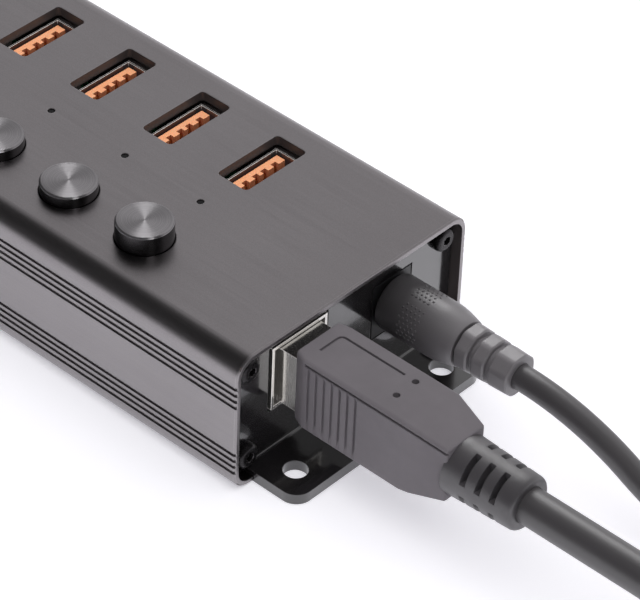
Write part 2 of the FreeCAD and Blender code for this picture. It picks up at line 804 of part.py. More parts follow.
def make_usb_b_insulator():
    """A lining with a stepped central tongue for the plug to slide over."""
    back_x = f"({USB_B_FRONT_X} - usb_b_depth + usb_b_wall + insulator_gap)"
    wide = "usb_b_width - 2 * usb_b_wall - 2 * insulator_gap"
    tall = "usb_b_height - 2 * usb_b_wall - 2 * insulator_gap"
    block = lying_box("usb_b_block", "usb_b_lining", wide,
                      tall, back_x, "usb_b_y", USB_B_MID_Z)
    well = lying_box("usb_b_well", "usb_b_depth", "nose_width + usb_b_well_gap",
                     "nose_height + usb_b_well_gap", f"{USB_B_TONGUE_X} + contact_recess",
                     "usb_b_y", "plug_axis_z")
    lower = lying_box("usb_b_lower_tongue", "usb_b_tongue", "lower_tongue_width",
                      "lower_tongue_height", USB_B_TONGUE_X, "usb_b_y",
                      "plug_axis_z - lower_tongue_drop")
    upper = lying_box("usb_b_upper_tongue", "usb_b_tongue", "upper_tongue_width",
                      "upper_tongue_height", USB_B_TONGUE_X, "usb_b_y",
                      "plug_axis_z + upper_tongue_rise")
    lining = cut("usb_b_lining", block, well)
    return fuse("usb_b_insulator", [lining, lower, upper])


def make_usb_b_contacts():
    """Two contacts on each face of the lower tongue and five under the upper one."""
    strips = []
    start_x = f"{USB_B_TONGUE_X} + contact_recess"
    reach = "(lower_tongue_height + usb_b_contact_thick) / 2"
    for side, sign in (("left", "-"), ("right", "+")):
        for face, way in (("upper", "+"), ("lower", "-")):
            strips.append(lying_box(f"usb_b_contact_{side}_{face}", "usb_b_contact_length",
                                    "usb_b_contact_width", "usb_b_contact_thick", start_x,
                                    f"usb_b_y {sign} usb_b_contact_pitch / 2",
                                    f"plug_axis_z - lower_tongue_drop {way} {reach}"))
    for index in range(-2, 3):
        strips.append(lying_box(f"usb_b_fast_contact_{index + 3}", "usb_b_contact_length",
                                "fast_contact_width", "usb_b_contact_thick", start_x,
                                f"usb_b_y + {index} * fast_contact_pitch",
                                "plug_axis_z + upper_tongue_rise - upper_tongue_height / 2"
                                " - usb_b_contact_thick / 2"))
    return group("usb_b_contacts", strips)


def make_dc_jack():
    """The moulded jack with a round well, and the pin that stands in it."""
    block = lying_box("dc_block", "dc_depth", "dc_width", "dc_height",
                      DC_JACK_BACK_X, "dc_y", f"{BOARD_TOP_Z} + dc_height / 2")
    well = rod("dc_well", "dc_bore", "dc_depth", f"{DC_JACK_BACK_X} + dc_floor", "dc_y",
               "dc_axis_z")
    seat = rod("dc_pin_hole", "dc_pin + press_fit", "dc_floor",
               f"{DC_JACK_BACK_X} + dc_pin_seat", "dc_y", "dc_axis_z")
    body = cut("dc_jack_body", block, fuse("dc_hollow", [well, seat]))
    pin = rod("dc_jack_pin", "dc_pin", "dc_depth - dc_pin_seat - dc_pin_recess",
              f"{DC_JACK_BACK_X} + dc_pin_seat", "dc_y", "dc_axis_z")
    return [body, pin]


# ------------------------------------------------------------ USB plug, cable

PLUG_START_X = f"({END_X} + plug_offset)"
TAPER_START_X = f"({PLUG_START_X} + plug_length)"
RELIEF_START_X = f"({TAPER_START_X} + taper_length)"
RELIEF_END_X = f"({RELIEF_START_X} + relief_length)"
CABLE_START_X = f"({RELIEF_END_X} - relief_length / 2)"


def make_plug_nose():
    """The hollow metal nose that slides over the tongue of the socket."""
    outer = lying_box("nose_outer", "nose_reach + nose_root", "nose_width", "nose_height",
                      f"{PLUG_START_X} - nose_reach", "usb_b_y", "plug_axis_z")
    inner = lying_box("nose_inner", "nose_reach + nose_wall", "nose_width - 2 * nose_wall",
                      "nose_height - 2 * nose_wall",
                      f"{PLUG_START_X} - nose_reach - nose_wall", "usb_b_y", "plug_axis_z")
    return cut("usb_plug_nose", outer, inner)


def make_relief_slots():
    """Rings of four slots round the strain relief, as one cutting solid."""
    sectors = []
    for ring in range(int(SIZES["relief_rings"])):
        for quarter in range(4):
            sector = doc.addObject("Part::Cylinder", f"relief_sector_{ring}_{quarter}")
            bind(sector, Radius="relief_start_diameter", Height="relief_slot",
                 Angle="relief_slot_angle")
            start = 45 + 90 * quarter - SIZES["relief_slot_angle"] / 2
            turn = ALONG_X.multiply(FreeCAD.Rotation(FreeCAD.Vector(0, 0, 1), start))
            put(sector, f"{RELIEF_START_X} + relief_slot_first + {ring} * relief_slot_pitch",
                "usb_b_y", "plug_axis_z", turn)
            sectors.append(sector)
    core = rod("relief_core", "relief_core_diameter", "relief_length", RELIEF_START_X,
               "usb_b_y", "plug_axis_z")
    return cut("relief_slots", fuse("relief_sectors", sectors), core)


def make_plug_overmould():
    """The boxy grip of the USB plug, tapering into its slotted strain relief."""
    grip = new_body("usb_plug_grip")
    for name, x, width, height, corner in (
            ("grip_back", PLUG_START_X, "plug_width", "plug_height", "plug_corner"),
            ("grip_shoulder_outline", TAPER_START_X, "plug_width", "plug_height",
             "plug_corner"),
            ("grip_front", RELIEF_START_X, "taper_width", "taper_height", "plug_corner")):
        outline = sketch_on(grip, "YZ_Plane", name, x)
        draw_rectangle(outline, name, width, height, "usb_b_y", "plug_axis_z", corner)
        if name == "grip_back":
            extrude(grip, "Pad", outline, "plug_length", "grip_block")
    loft = grip.newObject("PartDesign::AdditiveLoft", "grip_taper")
    loft.Profile = doc.getObject("grip_shoulder_outline")
    loft.Sections = [doc.getObject("grip_front")]
    loft.Ruled = True
    doc.recompute()

    relief = cone("relief_cone", "relief_start_diameter", "relief_end_diameter",
                  "relief_length", f"{RELIEF_START_X} - relief_lip", "usb_b_y", "plug_axis_z")
    lip = cone("relief_lip_cone", "relief_end_diameter",
               "relief_end_diameter - 1.6 * relief_lip", "relief_lip",
               f"{RELIEF_END_X} - relief_lip", "usb_b_y", "plug_axis_z")
    solid = fuse("plug_solid", [grip, relief, lip])

    tools = [make_relief_slots()]
    tools.append(rod("plug_cable_hole", "usb_cable_diameter + press_fit", "relief_length",
                     CABLE_START_X, "usb_b_y", "plug_axis_z"))
    tools.append(lying_box("plug_nose_hole", "2 * nose_root + press_fit / 2",
                           "nose_width + press_fit", "nose_height + press_fit",
                           f"{PLUG_START_X} - nose_root", "usb_b_y", "plug_axis_z"))
    for index in range(int(SIZES["grip_count"])):
        for side, sign in (("left", "-"), ("right", "+")):
            tools.append(lying_box(
                f"grip_groove_{side}_{index}", "grip_width", "grip_depth * 2",
                "plug_height - 2 * plug_corner",
                f"{PLUG_START_X} + grip_first + {index} * grip_pitch",
                f"usb_b_y {sign} plug_width / 2", "plug_axis_z"))
    return cut("usb_plug_overmould", solid, fuse("plug_tools", tools))


def make_usb_cable():
    """A straight jacket and four cores that end a little past it."""
    jacket_length = f"({RELIEF_END_X} + usb_cable_length - {CABLE_START_X})"
    outer = rod("usb_jacket_outer", "usb_cable_diameter", jacket_length, CABLE_START_X,
                "usb_b_y", "plug_axis_z")
    inner = rod("usb_jacket_inner", "usb_cable_bore", f"{jacket_length} + 2",
                f"{CABLE_START_X} - 1", "usb_b_y", "plug_axis_z")
    jacket = cut("usb_cable_jacket", outer, inner)
    cores = []
    for index, (side, up) in enumerate(((-1, -1), (-1, 1), (1, -1), (1, 1)), start=1):
        cores.append(rod(f"usb_core_{index}", "usb_core_diameter",
                         f"{jacket_length} + core_stub - 1", f"{CABLE_START_X} + 1",
                         f"usb_b_y + {side} * (usb_core_diameter / 2 + 0.02)",
                         f"plug_axis_z + {up} * (usb_core_diameter / 2 + 0.02)"))
    return [jacket, group("usb_cable_cores", cores)]


# ------------------------------------------------------------- DC plug, cable

DC_GRIP_X = f"({PLATE_FRONT_X} + 0.6)"
DC_NECK_X = f"({DC_GRIP_X} + grip_length + grip_shoulder)"
DC_COLLAR_X = f"({DC_NECK_X} + collar_first_gap)"
DC_NECK_END_X = (f"({DC_COLLAR_X} + (collar_count - 1) * (collar_length + collar_gap)"
                 " + end_collar_length)")
DC_BEND_X = f"({DC_NECK_END_X} + 0.5)"


def make_dc_barrel():
    outer = rod("barrel_outer", "barrel_diameter", "barrel_length + barrel_root",
                f"{DC_GRIP_X} - barrel_length", "dc_y", "dc_axis_z")
    inner = rod("barrel_inner", "barrel_bore", "barrel_length + barrel_root / 2",
                f"{DC_GRIP_X} - barrel_length - barrel_root / 4", "dc_y", "dc_axis_z")
    return cut("dc_plug_barrel", outer, inner)


def make_dc_overmould():
    """A round grip, a tapering shoulder and a neck of spaced collars."""
    pieces = [
        rod("dc_grip", "grip_diameter", "grip_length", DC_GRIP_X, "dc_y", "dc_axis_z"),
        cone("dc_shoulder", "grip_diameter", "neck_diameter + collar_step", "grip_shoulder",
             f"{DC_GRIP_X} + grip_length", "dc_y", "dc_axis_z"),
        rod("dc_neck_core", "neck_core_diameter", f"{DC_NECK_END_X} - {DC_NECK_X}",
            DC_NECK_X, "dc_y", "dc_axis_z"),
    ]
    lengths = ["collar_length"] * int(SIZES["collar_count"] - 1) + ["end_collar_length"]
    for step, length in enumerate(lengths):
        start = f"neck_diameter - {step} * collar_step"
        pieces.append(cone(f"dc_collar_{step + 1}", start, f"{start} - collar_taper", length,
                           f"{DC_COLLAR_X} + {step} * (collar_length + collar_gap)",
                           "dc_y", "dc_axis_z"))
    holes = [
        rod("dc_barrel_hole", "barrel_diameter + press_fit",
            "2 * barrel_root + press_fit / 2", f"{DC_GRIP_X} - barrel_root", "dc_y",
            "dc_axis_z"),
        rod("dc_cable_hole", "dc_cable_diameter + press_fit", "dc_cable_hold + 2",
            f"{DC_NECK_END_X} - dc_cable_hold", "dc_y", "dc_axis_z"),
    ]
    return cut("dc_plug_overmould", fuse("dc_solid", pieces), fuse("dc_holes", holes))


def bent_rod(name, diameter, y, start_x, tail):
    """A rod that leaves the plug level, dips through two equal bends and levels out."""
    straight = rod(f"{name}_start", diameter, f"{DC_BEND_X} - {start_x}", start_x, y,
                   "dc_axis_z")
    down = doc.addObject("Part::Torus", f"{name}_down")
    bind(down, Radius1="dc_bend_radius", Radius2=f"({diameter}) / 2", Angle3="dc_bend_angle")
    put(down, DC_BEND_X, y, "dc_axis_z - dc_bend_radius", TOP_OF_ARC)
    level = doc.addObject("Part::Torus", f"{name}_level")
    bind(level, Radius1="dc_bend_radius", Radius2=f"({diameter}) / 2", Angle3="dc_bend_angle")
    put(level, f"{DC_BEND_X} + 2 * dc_bend_radius * sin(dc_bend_angle * 1 deg)", y,
        "dc_axis_z - dc_bend_radius + 2 * dc_bend_radius * cos(dc_bend_angle * 1 deg)",
        FOOT_OF_ARC)
    end = rod(f"{name}_tail", diameter, tail,
              f"{DC_BEND_X} + 2 * dc_bend_radius * sin(dc_bend_angle * 1 deg)", y,
              "dc_axis_z - 2 * dc_bend_radius * (1 - cos(dc_bend_angle * 1 deg))")
    return fuse(name, [straight, down, level, end])


# A torus is swept about its own Z from its own X. One of these starts it at the
# top of a bend, going forwards and down; the other at the foot of a bend, going
# back and up.
TOP_OF_ARC = FreeCAD.Rotation(FreeCAD.Vector(0, 0, 1), FreeCAD.Vector(1, 0, 0),
                              FreeCAD.Vector(0, 1, 0), "ZXY")
FOOT_OF_ARC = FreeCAD.Rotation(FreeCAD.Vector(0, 0, -1), FreeCAD.Vector(-1, 0, 0),
                               FreeCAD.Vector(0, 1, 0), "ZXY")


def make_dc_cable():
    """A jacket that dips towards the table, and its two cores."""
    start_x = f"({DC_NECK_END_X} - dc_cable_hold)"
    outer = bent_rod("dc_jacket_outer", "dc_cable_diameter", "dc_y", start_x, "dc_tail")
    inner = bent_rod("dc_jacket_inner", "dc_cable_bore", "dc_y", f"({start_x} - 1)",
                     "dc_tail + 1")
    jacket = cut("dc_cable_jacket", outer, inner)
    cores = [bent_rod(f"dc_core_{index}", "dc_core_diameter",
                      f"dc_y + {side} * (dc_core_diameter / 2 + 0.02)", f"({start_x} + 1)",
                      "dc_tail + core_stub")
             for index, side in enumerate((-1, 1), start=1)]
    return [jacket, group("dc_cable_cores", cores)]


# ------------------------------------------------------------------- assembly

def make_all():
    """Every piece of the hub, in the order it would be laid out on a bench."""
    pieces = [make_housing(), make_end_plate("front_end_plate", True),
              turn_to_blank_end(make_end_plate("rear_end_plate", False)),
              make_screw_set("front_plate_screws"),
              turn_to_blank_end(make_screw_set("rear_plate_screws")),
              make_board(), make_board_chips(), make_status_leds(), make_light_pipes(),
              make_socket_contacts(), make_switch_bodies(), make_usb_b_shell(),
              make_usb_b_insulator(), make_usb_b_contacts(), *make_dc_jack(),
              make_plug_nose(), make_plug_overmould(), *make_usb_cable(),
              make_dc_barrel(), make_dc_overmould(), *make_dc_cable()]
    for number in PORTS:
        pieces += [make_socket_shell(number), make_socket_tongue(number),
                   make_button_cap(number), make_plunger(number), make_spring(number)]
    doc.recompute()
    return pieces


def check(pieces):
    """Stop before writing anything if an object failed or a shape is bad."""
    for item in doc.Objects:
        if "Invalid" in item.State or "Error" in item.State:
            raise RuntimeError(f"{item.Name} failed: {item.State}")
    for piece in pieces:
        if piece.Shape.isNull() or not piece.Shape.isValid():
            raise RuntimeError(f"{piece.Label} has no valid shape")


def export(pieces):
    os.makedirs("parts", exist_ok=True)
    for piece in pieces:
        piece.Shape.exportStep(f"parts/{piece.Label}.step")


ALL_PIECES = make_all()
check(ALL_PIECES)
export(ALL_PIECES)
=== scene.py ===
import json
import math

import bmesh
import bpy
from mathutils import Matrix, Vector


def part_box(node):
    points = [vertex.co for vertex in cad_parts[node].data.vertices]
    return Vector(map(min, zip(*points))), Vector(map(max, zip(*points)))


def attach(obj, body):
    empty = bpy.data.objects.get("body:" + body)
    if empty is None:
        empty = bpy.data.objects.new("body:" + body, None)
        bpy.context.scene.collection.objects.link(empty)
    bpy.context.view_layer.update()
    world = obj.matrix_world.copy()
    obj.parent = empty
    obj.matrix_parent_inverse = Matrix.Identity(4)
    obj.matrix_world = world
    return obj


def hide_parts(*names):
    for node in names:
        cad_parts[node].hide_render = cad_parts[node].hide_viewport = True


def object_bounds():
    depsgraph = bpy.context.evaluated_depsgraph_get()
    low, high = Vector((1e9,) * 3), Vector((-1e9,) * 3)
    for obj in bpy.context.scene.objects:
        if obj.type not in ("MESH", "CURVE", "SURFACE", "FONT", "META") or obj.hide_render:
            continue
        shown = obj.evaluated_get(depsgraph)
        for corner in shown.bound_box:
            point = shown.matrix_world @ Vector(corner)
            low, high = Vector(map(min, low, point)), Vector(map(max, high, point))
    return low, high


# The looks of a seven-port desktop USB hub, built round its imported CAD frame.
# Metres, in the frame's own axes: +X runs towards the end with the leads, +Y
# towards the row of ports, +Z up. Lengths below are written in millimetres
# and multiplied by MM.

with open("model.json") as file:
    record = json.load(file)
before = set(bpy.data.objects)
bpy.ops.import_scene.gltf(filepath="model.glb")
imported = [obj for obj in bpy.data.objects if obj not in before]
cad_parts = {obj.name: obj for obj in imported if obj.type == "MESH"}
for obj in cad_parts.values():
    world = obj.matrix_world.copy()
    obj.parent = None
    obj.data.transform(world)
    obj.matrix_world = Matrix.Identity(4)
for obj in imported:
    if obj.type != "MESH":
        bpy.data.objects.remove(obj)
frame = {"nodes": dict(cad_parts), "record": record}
CAD_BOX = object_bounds()
MM = 0.001

PORTS = range(1, 8)
HOUSING_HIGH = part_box("housing")[1]
SHELL_A_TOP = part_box("usb_a_shell_1")[1].z
SHELL_B_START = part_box("usb_b_shell")[0].x
DC_LOW, DC_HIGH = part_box("dc_plug_overmould")
DC_PIN_LOW, DC_PIN_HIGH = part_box("dc_jack_pin")


# ------------------------------------------------------------------ materials

class Finish:
    """A node material under construction, in object coordinates (metres)."""

    def __init__(self, name, color, metallic=0.0, roughness=0.5):
        self.material = bpy.data.materials.new(name)
        self.material.use_nodes = True
        self.tree = self.material.node_tree
        self.shader = self.tree.nodes["Principled BSDF"]
        self.set("Base Color", (*color, 1.0))
        self.set("Metallic", metallic)
        self.set("Roughness", roughness)
        self.place = self.add("ShaderNodeTexCoord").outputs["Object"]

    def set(self, name, value):
        """Give the surface a plain value or the output of another node."""
        self.feed(self.shader.inputs[name], value)

    def feed(self, socket, value):
        if isinstance(value, bpy.types.NodeSocket):
            self.tree.links.new(value, socket)
        else:
            socket.default_value = value

    def add(self, kind, inputs=None, **settings):
        node = self.tree.nodes.new(kind)
        for name, value in settings.items():
            setattr(node, name, value)
        for name, value in (inputs or {}).items():
            self.feed(node.inputs[name], value)
        return node

    def noise(self, size, detail=3.0, stretch=(1.0, 1.0, 1.0)):
        """Noise with features of about this size in metres, longer where stretched."""
        shrink = tuple(1.0 / value for value in stretch)
        place = self.add("ShaderNodeMapping", {"Vector": self.place, "Scale": shrink})
        texture = self.add("ShaderNodeTexNoise", {
            "Vector": place.outputs["Vector"], "Scale": 1.0 / size, "Detail": detail})
        return texture.outputs["Fac"]

    def spread(self, value, low, high, start=0.3, end=0.7):
        """Remap a value from start..end to low..high."""
        node = self.add("ShaderNodeMapRange", {
            "Value": value, "From Min": start, "From Max": end, "To Min": low, "To Max": high})
        return node.outputs["Result"]

    def blend_colors(self, factor, first, second):
        node = self.add("ShaderNodeMix", data_type="RGBA")
        self.feed(node.inputs[0], factor)
        self.feed(node.inputs[6], first if not isinstance(first, tuple) else (*first, 1.0))
        self.feed(node.inputs[7], second if not isinstance(second, tuple) else (*second, 1.0))
        return node.outputs[2]

    def vector_math(self, operation, first, second=(0.0, 0.0, 0.0)):
        node = self.add("ShaderNodeVectorMath", operation=operation)
        self.feed(node.inputs[0], first)
        self.feed(node.inputs[1], second)
        return node

    def math(self, operation, first, second):
        node = self.add("ShaderNodeMath", {0: first, 1: second}, operation=operation)
        return node.outputs["Value"]

    def along(self, vector, axis):
        """One component of a vector."""
        return self.add("ShaderNodeSeparateXYZ", {"Vector": vector}).outputs[axis]

    def true_normal(self):
        return self.add("ShaderNodeNewGeometry").outputs["Normal"]

    def soften_edges(self, radius):
        """The surface's normal with its edges rounded to a small radius."""
        return self.add("ShaderNodeBevel", {"Radius": radius}, samples=6).outputs["Normal"]

    def bump(self, height, depth, normal=None, strength=1.0):
        inputs = {"Height": height, "Distance": depth, "Strength": strength}
        if normal is not None:
            inputs["Normal"] = normal
        return self.add("ShaderNodeBump", inputs).outputs["Normal"]

    def edge_mask(self, softened):
        """Near 0 on flat faces, rising to 1 on edges."""
        flat = self.vector_math("DOT_PRODUCT", softened, self.true_normal())
        return self.spread(flat.outputs["Value"], 1.0, 0.0, 0.75, 0.995)


def grained(name, color, metallic, roughness, grain=0.2 * MM, depth=0.004 * MM, edge=0.1 * MM,
            vary=0.06, tone=0.85):
    """A moulded, plated or painted surface: fine grain, uneven gloss, soft edges."""
    finish = Finish(name, color, metallic, roughness)
    cloud = finish.noise(6 * MM)
    darker = tuple(tone * channel for channel in color)
    finish.set("Base Color", finish.blend_colors(finish.spread(cloud, 0.0, 1.0), color, darker))
    finish.set("Roughness", finish.spread(finish.noise(1.5 * MM), roughness - vary,
                                          roughness + vary))
    softened = finish.soften_edges(edge)
    finish.set("Normal", finish.bump(finish.noise(grain), depth, softened))
    return finish


def anodised_housing():
    """Bead-blasted dark anodising: paler along its edges, from wear and a painted highlight,
    with painted shade on its inner faces.
    """
    color = (0.3, 0.284, 0.291)
    finish = Finish("anodised_housing", color, 1.0, 0.36)
    softened = finish.soften_edges(0.25 * MM)
    cloud = finish.spread(finish.noise(22 * MM, 2.0), 0.0, 1.0)
    clouded = finish.blend_colors(cloud, color, (0.284, 0.268, 0.275))
    speckle = finish.spread(finish.noise(0.12 * MM, 1.0), 0.92, 1.08)
    speckled = finish.add("ShaderNodeMix", data_type="RGBA", blend_type="MULTIPLY")
    finish.feed(speckled.inputs[0], 1.0)
    finish.feed(speckled.inputs[6], clouded)
    finish.feed(speckled.inputs[7], speckle)
    # Paler edges: wear, and a painted edge highlight.
    edge = finish.edge_mask(softened)
    skin_with_wear_and_highlight = finish.blend_colors(edge, speckled.outputs[2], (0.5, 0.48, 0.49))
    # Inner faces of the openings: painted shade, dark and not metallic.
    inner = painted_inner_shade_mask(finish)
    finish.set("Base Color", finish.blend_colors(inner, skin_with_wear_and_highlight, (0.08, 0.068, 0.068)))
    finish.set("Metallic", finish.spread(inner, 1.0, 0.0, 0.0, 1.0))
    drawn = finish.noise(0.4 * MM, 2.0, (60.0, 1.0, 1.0))
    finish.set("Roughness", finish.spread(drawn, 0.32, 0.4))
    finish.set("Normal", finish.bump(finish.noise(0.1 * MM, 2.0), 0.004 * MM, softened))
    return finish.material


def painted_inner_shade_mask(finish):
    """1 on faces inside the housing's outer skin that don't face up, 0 elsewhere: the faces that
    get painted shade.
    """
    side_wall, end_gap, level = 0.8 * MM, 0.02 * MM, 0.5
    away = finish.vector_math("ABSOLUTE", finish.place).outputs["Vector"]
    off_ends = finish.math("LESS_THAN", finish.along(away, "X"), HOUSING_HIGH.x - end_gap)
    off_sides = finish.math("LESS_THAN", finish.along(away, "Y"), HOUSING_HIGH.y - side_wall)
    upward = finish.along(finish.true_normal(), "Z")
    sideways = finish.math("LESS_THAN", upward, level)
    return finish.math("MULTIPLY", finish.math("MULTIPLY", off_ends, off_sides), sideways)


def gloss_plate():
    """Black gloss paint with a faint orange-peel ripple and a painted highlight along its edges.
    """
    finish = Finish("gloss_plate", (0.012, 0.011, 0.012), 0.0, 0.12)
    finish.set("Specular IOR Level", 1.0)
    finish.set("Coat Weight", 0.8)
    finish.set("Coat Roughness", 0.06)
    finish.set("Roughness", finish.spread(finish.noise(3 * MM), 0.1, 0.2))
    softened = finish.soften_edges(0.22 * MM)
    ripple = finish.bump(finish.noise(1.1 * MM, 2.0), 0.006 * MM, softened)
    finish.set("Normal", ripple)
    # Paler edges: a painted edge highlight.
    edge = finish.edge_mask(softened)
    finish.set("Base Color", finish.blend_colors(edge, (0.012, 0.011, 0.012),
                                                 (0.06, 0.057, 0.06)))
    return finish.material


def screw_finish():
    """Black oxide with a painted highlight along the edges of the head and its socket."""
    finish = Finish("black_screw", (0.02, 0.019, 0.021), 0.8, 0.28)
    softened = finish.soften_edges(0.12 * MM)
    # Pale edges: a painted highlight.
    finish.set("Base Color", finish.blend_colors(finish.edge_mask(softened),
                                                 (0.03, 0.028, 0.03), (0.4, 0.38, 0.39)))
    finish.set("Roughness", finish.spread(finish.noise(0.5 * MM), 0.22, 0.36))
    finish.set("Normal", finish.bump(finish.noise(0.3 * MM), 0.004 * MM, softened))
    return finish.material


def spun_metal():
    """A turned button: rings round its axis, brushed along them, dark gloss sides."""
    finish = Finish("spun_metal", (0.36, 0.35, 0.36), 1.0, 0.32)
    flat = finish.vector_math("MULTIPLY", finish.place, (1.0, 1.0, 0.0)).outputs["Vector"]
    outward = finish.vector_math("NORMALIZE", flat).outputs["Vector"]
    radius = finish.vector_math("LENGTH", flat).outputs["Value"]
    rings = finish.add("ShaderNodeTexNoise", {"W": radius, "Scale": 9000.0, "Detail": 2.0},
                       noise_dimensions="1D").outputs["Fac"]
    upward = finish.along(finish.true_normal(), "Z")
    top = finish.spread(upward, 0.0, 1.0, 0.25, 0.5)
    across_rings = finish.add("ShaderNodeMix", data_type="VECTOR")
    finish.feed(across_rings.inputs[0], top)
    finish.feed(across_rings.inputs[4], (0.0, 0.0, 1.0))
    finish.feed(across_rings.inputs[5], outward)
    finish.set("Tangent", across_rings.outputs[1])
    finish.set("Anisotropic", 0.9)
    ringed = finish.blend_colors(finish.spread(rings, 0.0, 1.0), (0.36, 0.35, 0.36),
                                 (0.24, 0.23, 0.24))
    finish.set("Base Color", finish.blend_colors(top, (0.1, 0.095, 0.098), ringed))
    finish.set("Roughness", finish.spread(top, 0.24, 0.36, 0.0, 1.0))
    finish.set("Normal", finish.bump(rings, 0.004 * MM))
    return finish.material


def soft_mould(name, color, roughness, gloss):
    """Cable-grade plastic: a fine spark-eroded grain, faint flow clouds, pale edges."""
    finish = grained(name, color, 0.0, roughness, 0.16 * MM, 0.012 * MM, 0.2 * MM, 0.05, 0.9)
    finish.set("Specular IOR Level", gloss)
    return finish.material


def power_mould():
    """The power plug's plastic: painted shade, blacker at its face by the hub, grading to
    painted light, paler towards its cable.
    """
    finish = Finish("power_overmould", (0.1, 0.095, 0.1), 0.0, 0.34)
    # Painted shade near the hub fading into painted light towards the cable.
    painted_shade_to_light = finish.spread(finish.along(finish.place, "X"), 0.0, 1.0, DC_LOW.x + 4 * MM,
                            DC_LOW.x + 18 * MM)
    finish.set("Base Color", finish.blend_colors(painted_shade_to_light, (0.05, 0.047, 0.05),
                                                 (0.17, 0.16, 0.17)))
    finish.set("Roughness", finish.spread(finish.noise(2 * MM), 0.38, 0.48))
    finish.set("Normal", finish.bump(finish.noise(0.2 * MM, 2.0), 0.02 * MM,
                                     finish.soften_edges(0.2 * MM)))
    finish.set("Specular IOR Level", 1.0)
    return finish.material


def cable_skin():
    """An extruded jacket: long faint drawing lines over a satin surface."""
    finish = Finish("cable_skin", (0.06, 0.056, 0.06), 0.0, 0.3)
    lines = finish.noise(0.25 * MM, 2.0, (50.0, 1.0, 1.0))
    finish.set("Roughness", finish.spread(lines, 0.38, 0.44))
    finish.set("Specular IOR Level", 1.0)
    finish.set("Base Color", finish.blend_colors(finish.noise(9 * MM), (0.06, 0.056, 0.06),
                                                 (0.05, 0.047, 0.05)))
    grain = finish.bump(finish.noise(0.18 * MM, 2.0), 0.004 * MM)
    finish.set("Normal", finish.bump(lines, 0.001 * MM, grain))
    return finish.material


def orange_plastic():
    """Moulded orange, bright with a faint painted glow at the mouth of the socket; painted shade
    in deep red-brown down inside it, in recesses and on faces that don't face up.
    """
    finish = Finish("orange_plastic", (0.96, 0.46, 0.25), 0.0, 0.38)
    # Painted light and shade: bright where high, facing up and open; deep red-brown painted
    # shade below, in recesses and on sideways faces.
    height = finish.spread(finish.along(finish.place, "Z"), 0.0, 1.0,
                           HOUSING_HIGH.z - 7.5 * MM, HOUSING_HIGH.z - 2.6 * MM)
    upward = finish.spread(finish.along(finish.true_normal(), "Z"), 0.3, 1.0, 0.2, 0.8)
    occlusion_shade = finish.add("ShaderNodeAmbientOcclusion", {"Distance": 0.7 * MM}).outputs["AO"]
    painted_lit_mouth = finish.math("MULTIPLY", finish.math("MULTIPLY", height, upward),
                        finish.spread(occlusion_shade, 0.0, 1.0, 0.35, 0.8))
    bright = finish.blend_colors(finish.spread(finish.noise(4 * MM), 0.0, 1.0),
                                 (0.96, 0.46, 0.25), (0.92, 0.41, 0.2))
    finish.set("Base Color", finish.blend_colors(painted_lit_mouth, (0.36, 0.055, 0.018), bright))
    finish.set("Roughness", finish.spread(finish.noise(1.5 * MM), 0.33, 0.43))
    finish.set("Normal", finish.bump(finish.noise(0.15 * MM), 0.004 * MM,
                                     finish.soften_edges(0.08 * MM)))
    finish.set("Subsurface Weight", 0.15)
    finish.set("Subsurface Radius", (0.8 * MM, 0.3 * MM, 0.15 * MM))
    # A faint painted glow where the orange is lit.
    finish.set("Emission Color", (1.0, 0.4, 0.2, 1.0))
    finish.set("Emission Strength", finish.spread(painted_lit_mouth, 0.0, 0.17, 0.0, 1.0))
    return finish.material


def bright_shell():
    """Nickel plate over rolled sheet, with a painted glint glowing along its lit edges, and
    painted shade tinted red-brown inside the USB-A shells.
    """
    finish = Finish("bright_shell", (0.8, 0.79, 0.76), 1.0, 0.2)
    rolled = finish.noise(0.15 * MM, 2.0, (1.0, 1.0, 40.0))
    finish.set("Roughness", finish.spread(rolled, 0.14, 0.28))
    plated = finish.blend_colors(finish.noise(3 * MM), (0.84, 0.83, 0.8), (0.7, 0.68, 0.64))
    # Painted light on the USB-B shell and the tops of the USB-A shells; painted shade, tinted
    # red-brown, below.
    end_socket = finish.spread(finish.along(finish.place, "X"), 0.0, 1.0,
                               SHELL_B_START - 1 * MM, SHELL_B_START)
    painted_lit_mouth = finish.spread(finish.along(finish.place, "Z"), 0.0, 1.0, SHELL_A_TOP - 0.9 * MM,
                          SHELL_A_TOP - 0.1 * MM)
    painted_lit = finish.math("MAXIMUM", end_socket, painted_lit_mouth)
    finish.set("Base Color", finish.blend_colors(painted_lit, (0.16, 0.03, 0.02), plated))
    softened = finish.soften_edges(0.12 * MM)
    finish.set("Normal", finish.bump(rolled, 0.002 * MM, softened))
    # A painted glint: the edges of the lit parts glow.
    painted_glint = finish.math("MULTIPLY", painted_lit, finish.edge_mask(softened))
    finish.set("Emission Color", (1.0, 0.96, 0.95, 1.0))
    finish.set("Emission Strength", finish.spread(painted_glint, 0.01, 0.9, 0.0, 1.0))
    return finish.material


def circuit_board():
    """Green solder mask over a woven laminate, with traces just showing."""
    finish = Finish("circuit_board", (0.01, 0.1, 0.035), 0.0, 0.3)
    traces = finish.add("ShaderNodeTexBrick", {
        "Vector": finish.place, "Scale": 260.0, "Mortar Size": 0.08,
        "Color1": (0.008, 0.085, 0.03, 1.0), "Color2": (0.01, 0.1, 0.035, 1.0),
        "Mortar": (0.02, 0.16, 0.06, 1.0)})
    finish.set("Base Color", traces.outputs["Color"])
    finish.set("Roughness", finish.spread(finish.noise(2 * MM), 0.22, 0.38))
    finish.set("Normal", finish.bump(finish.noise(0.3 * MM), 0.004 * MM))
    return finish.material


def painted_shade_rod():
    """A light pipe coloured nearly black: painted shade for its dark hole."""
    finish = Finish("painted_shade_rod", (0.004, 0.004, 0.0045), 0.0, 0.2)
    finish.set("Specular IOR Level", 0.15)
    finish.set("Roughness", finish.spread(finish.noise(0.4 * MM), 0.15, 0.3))
    return finish.material


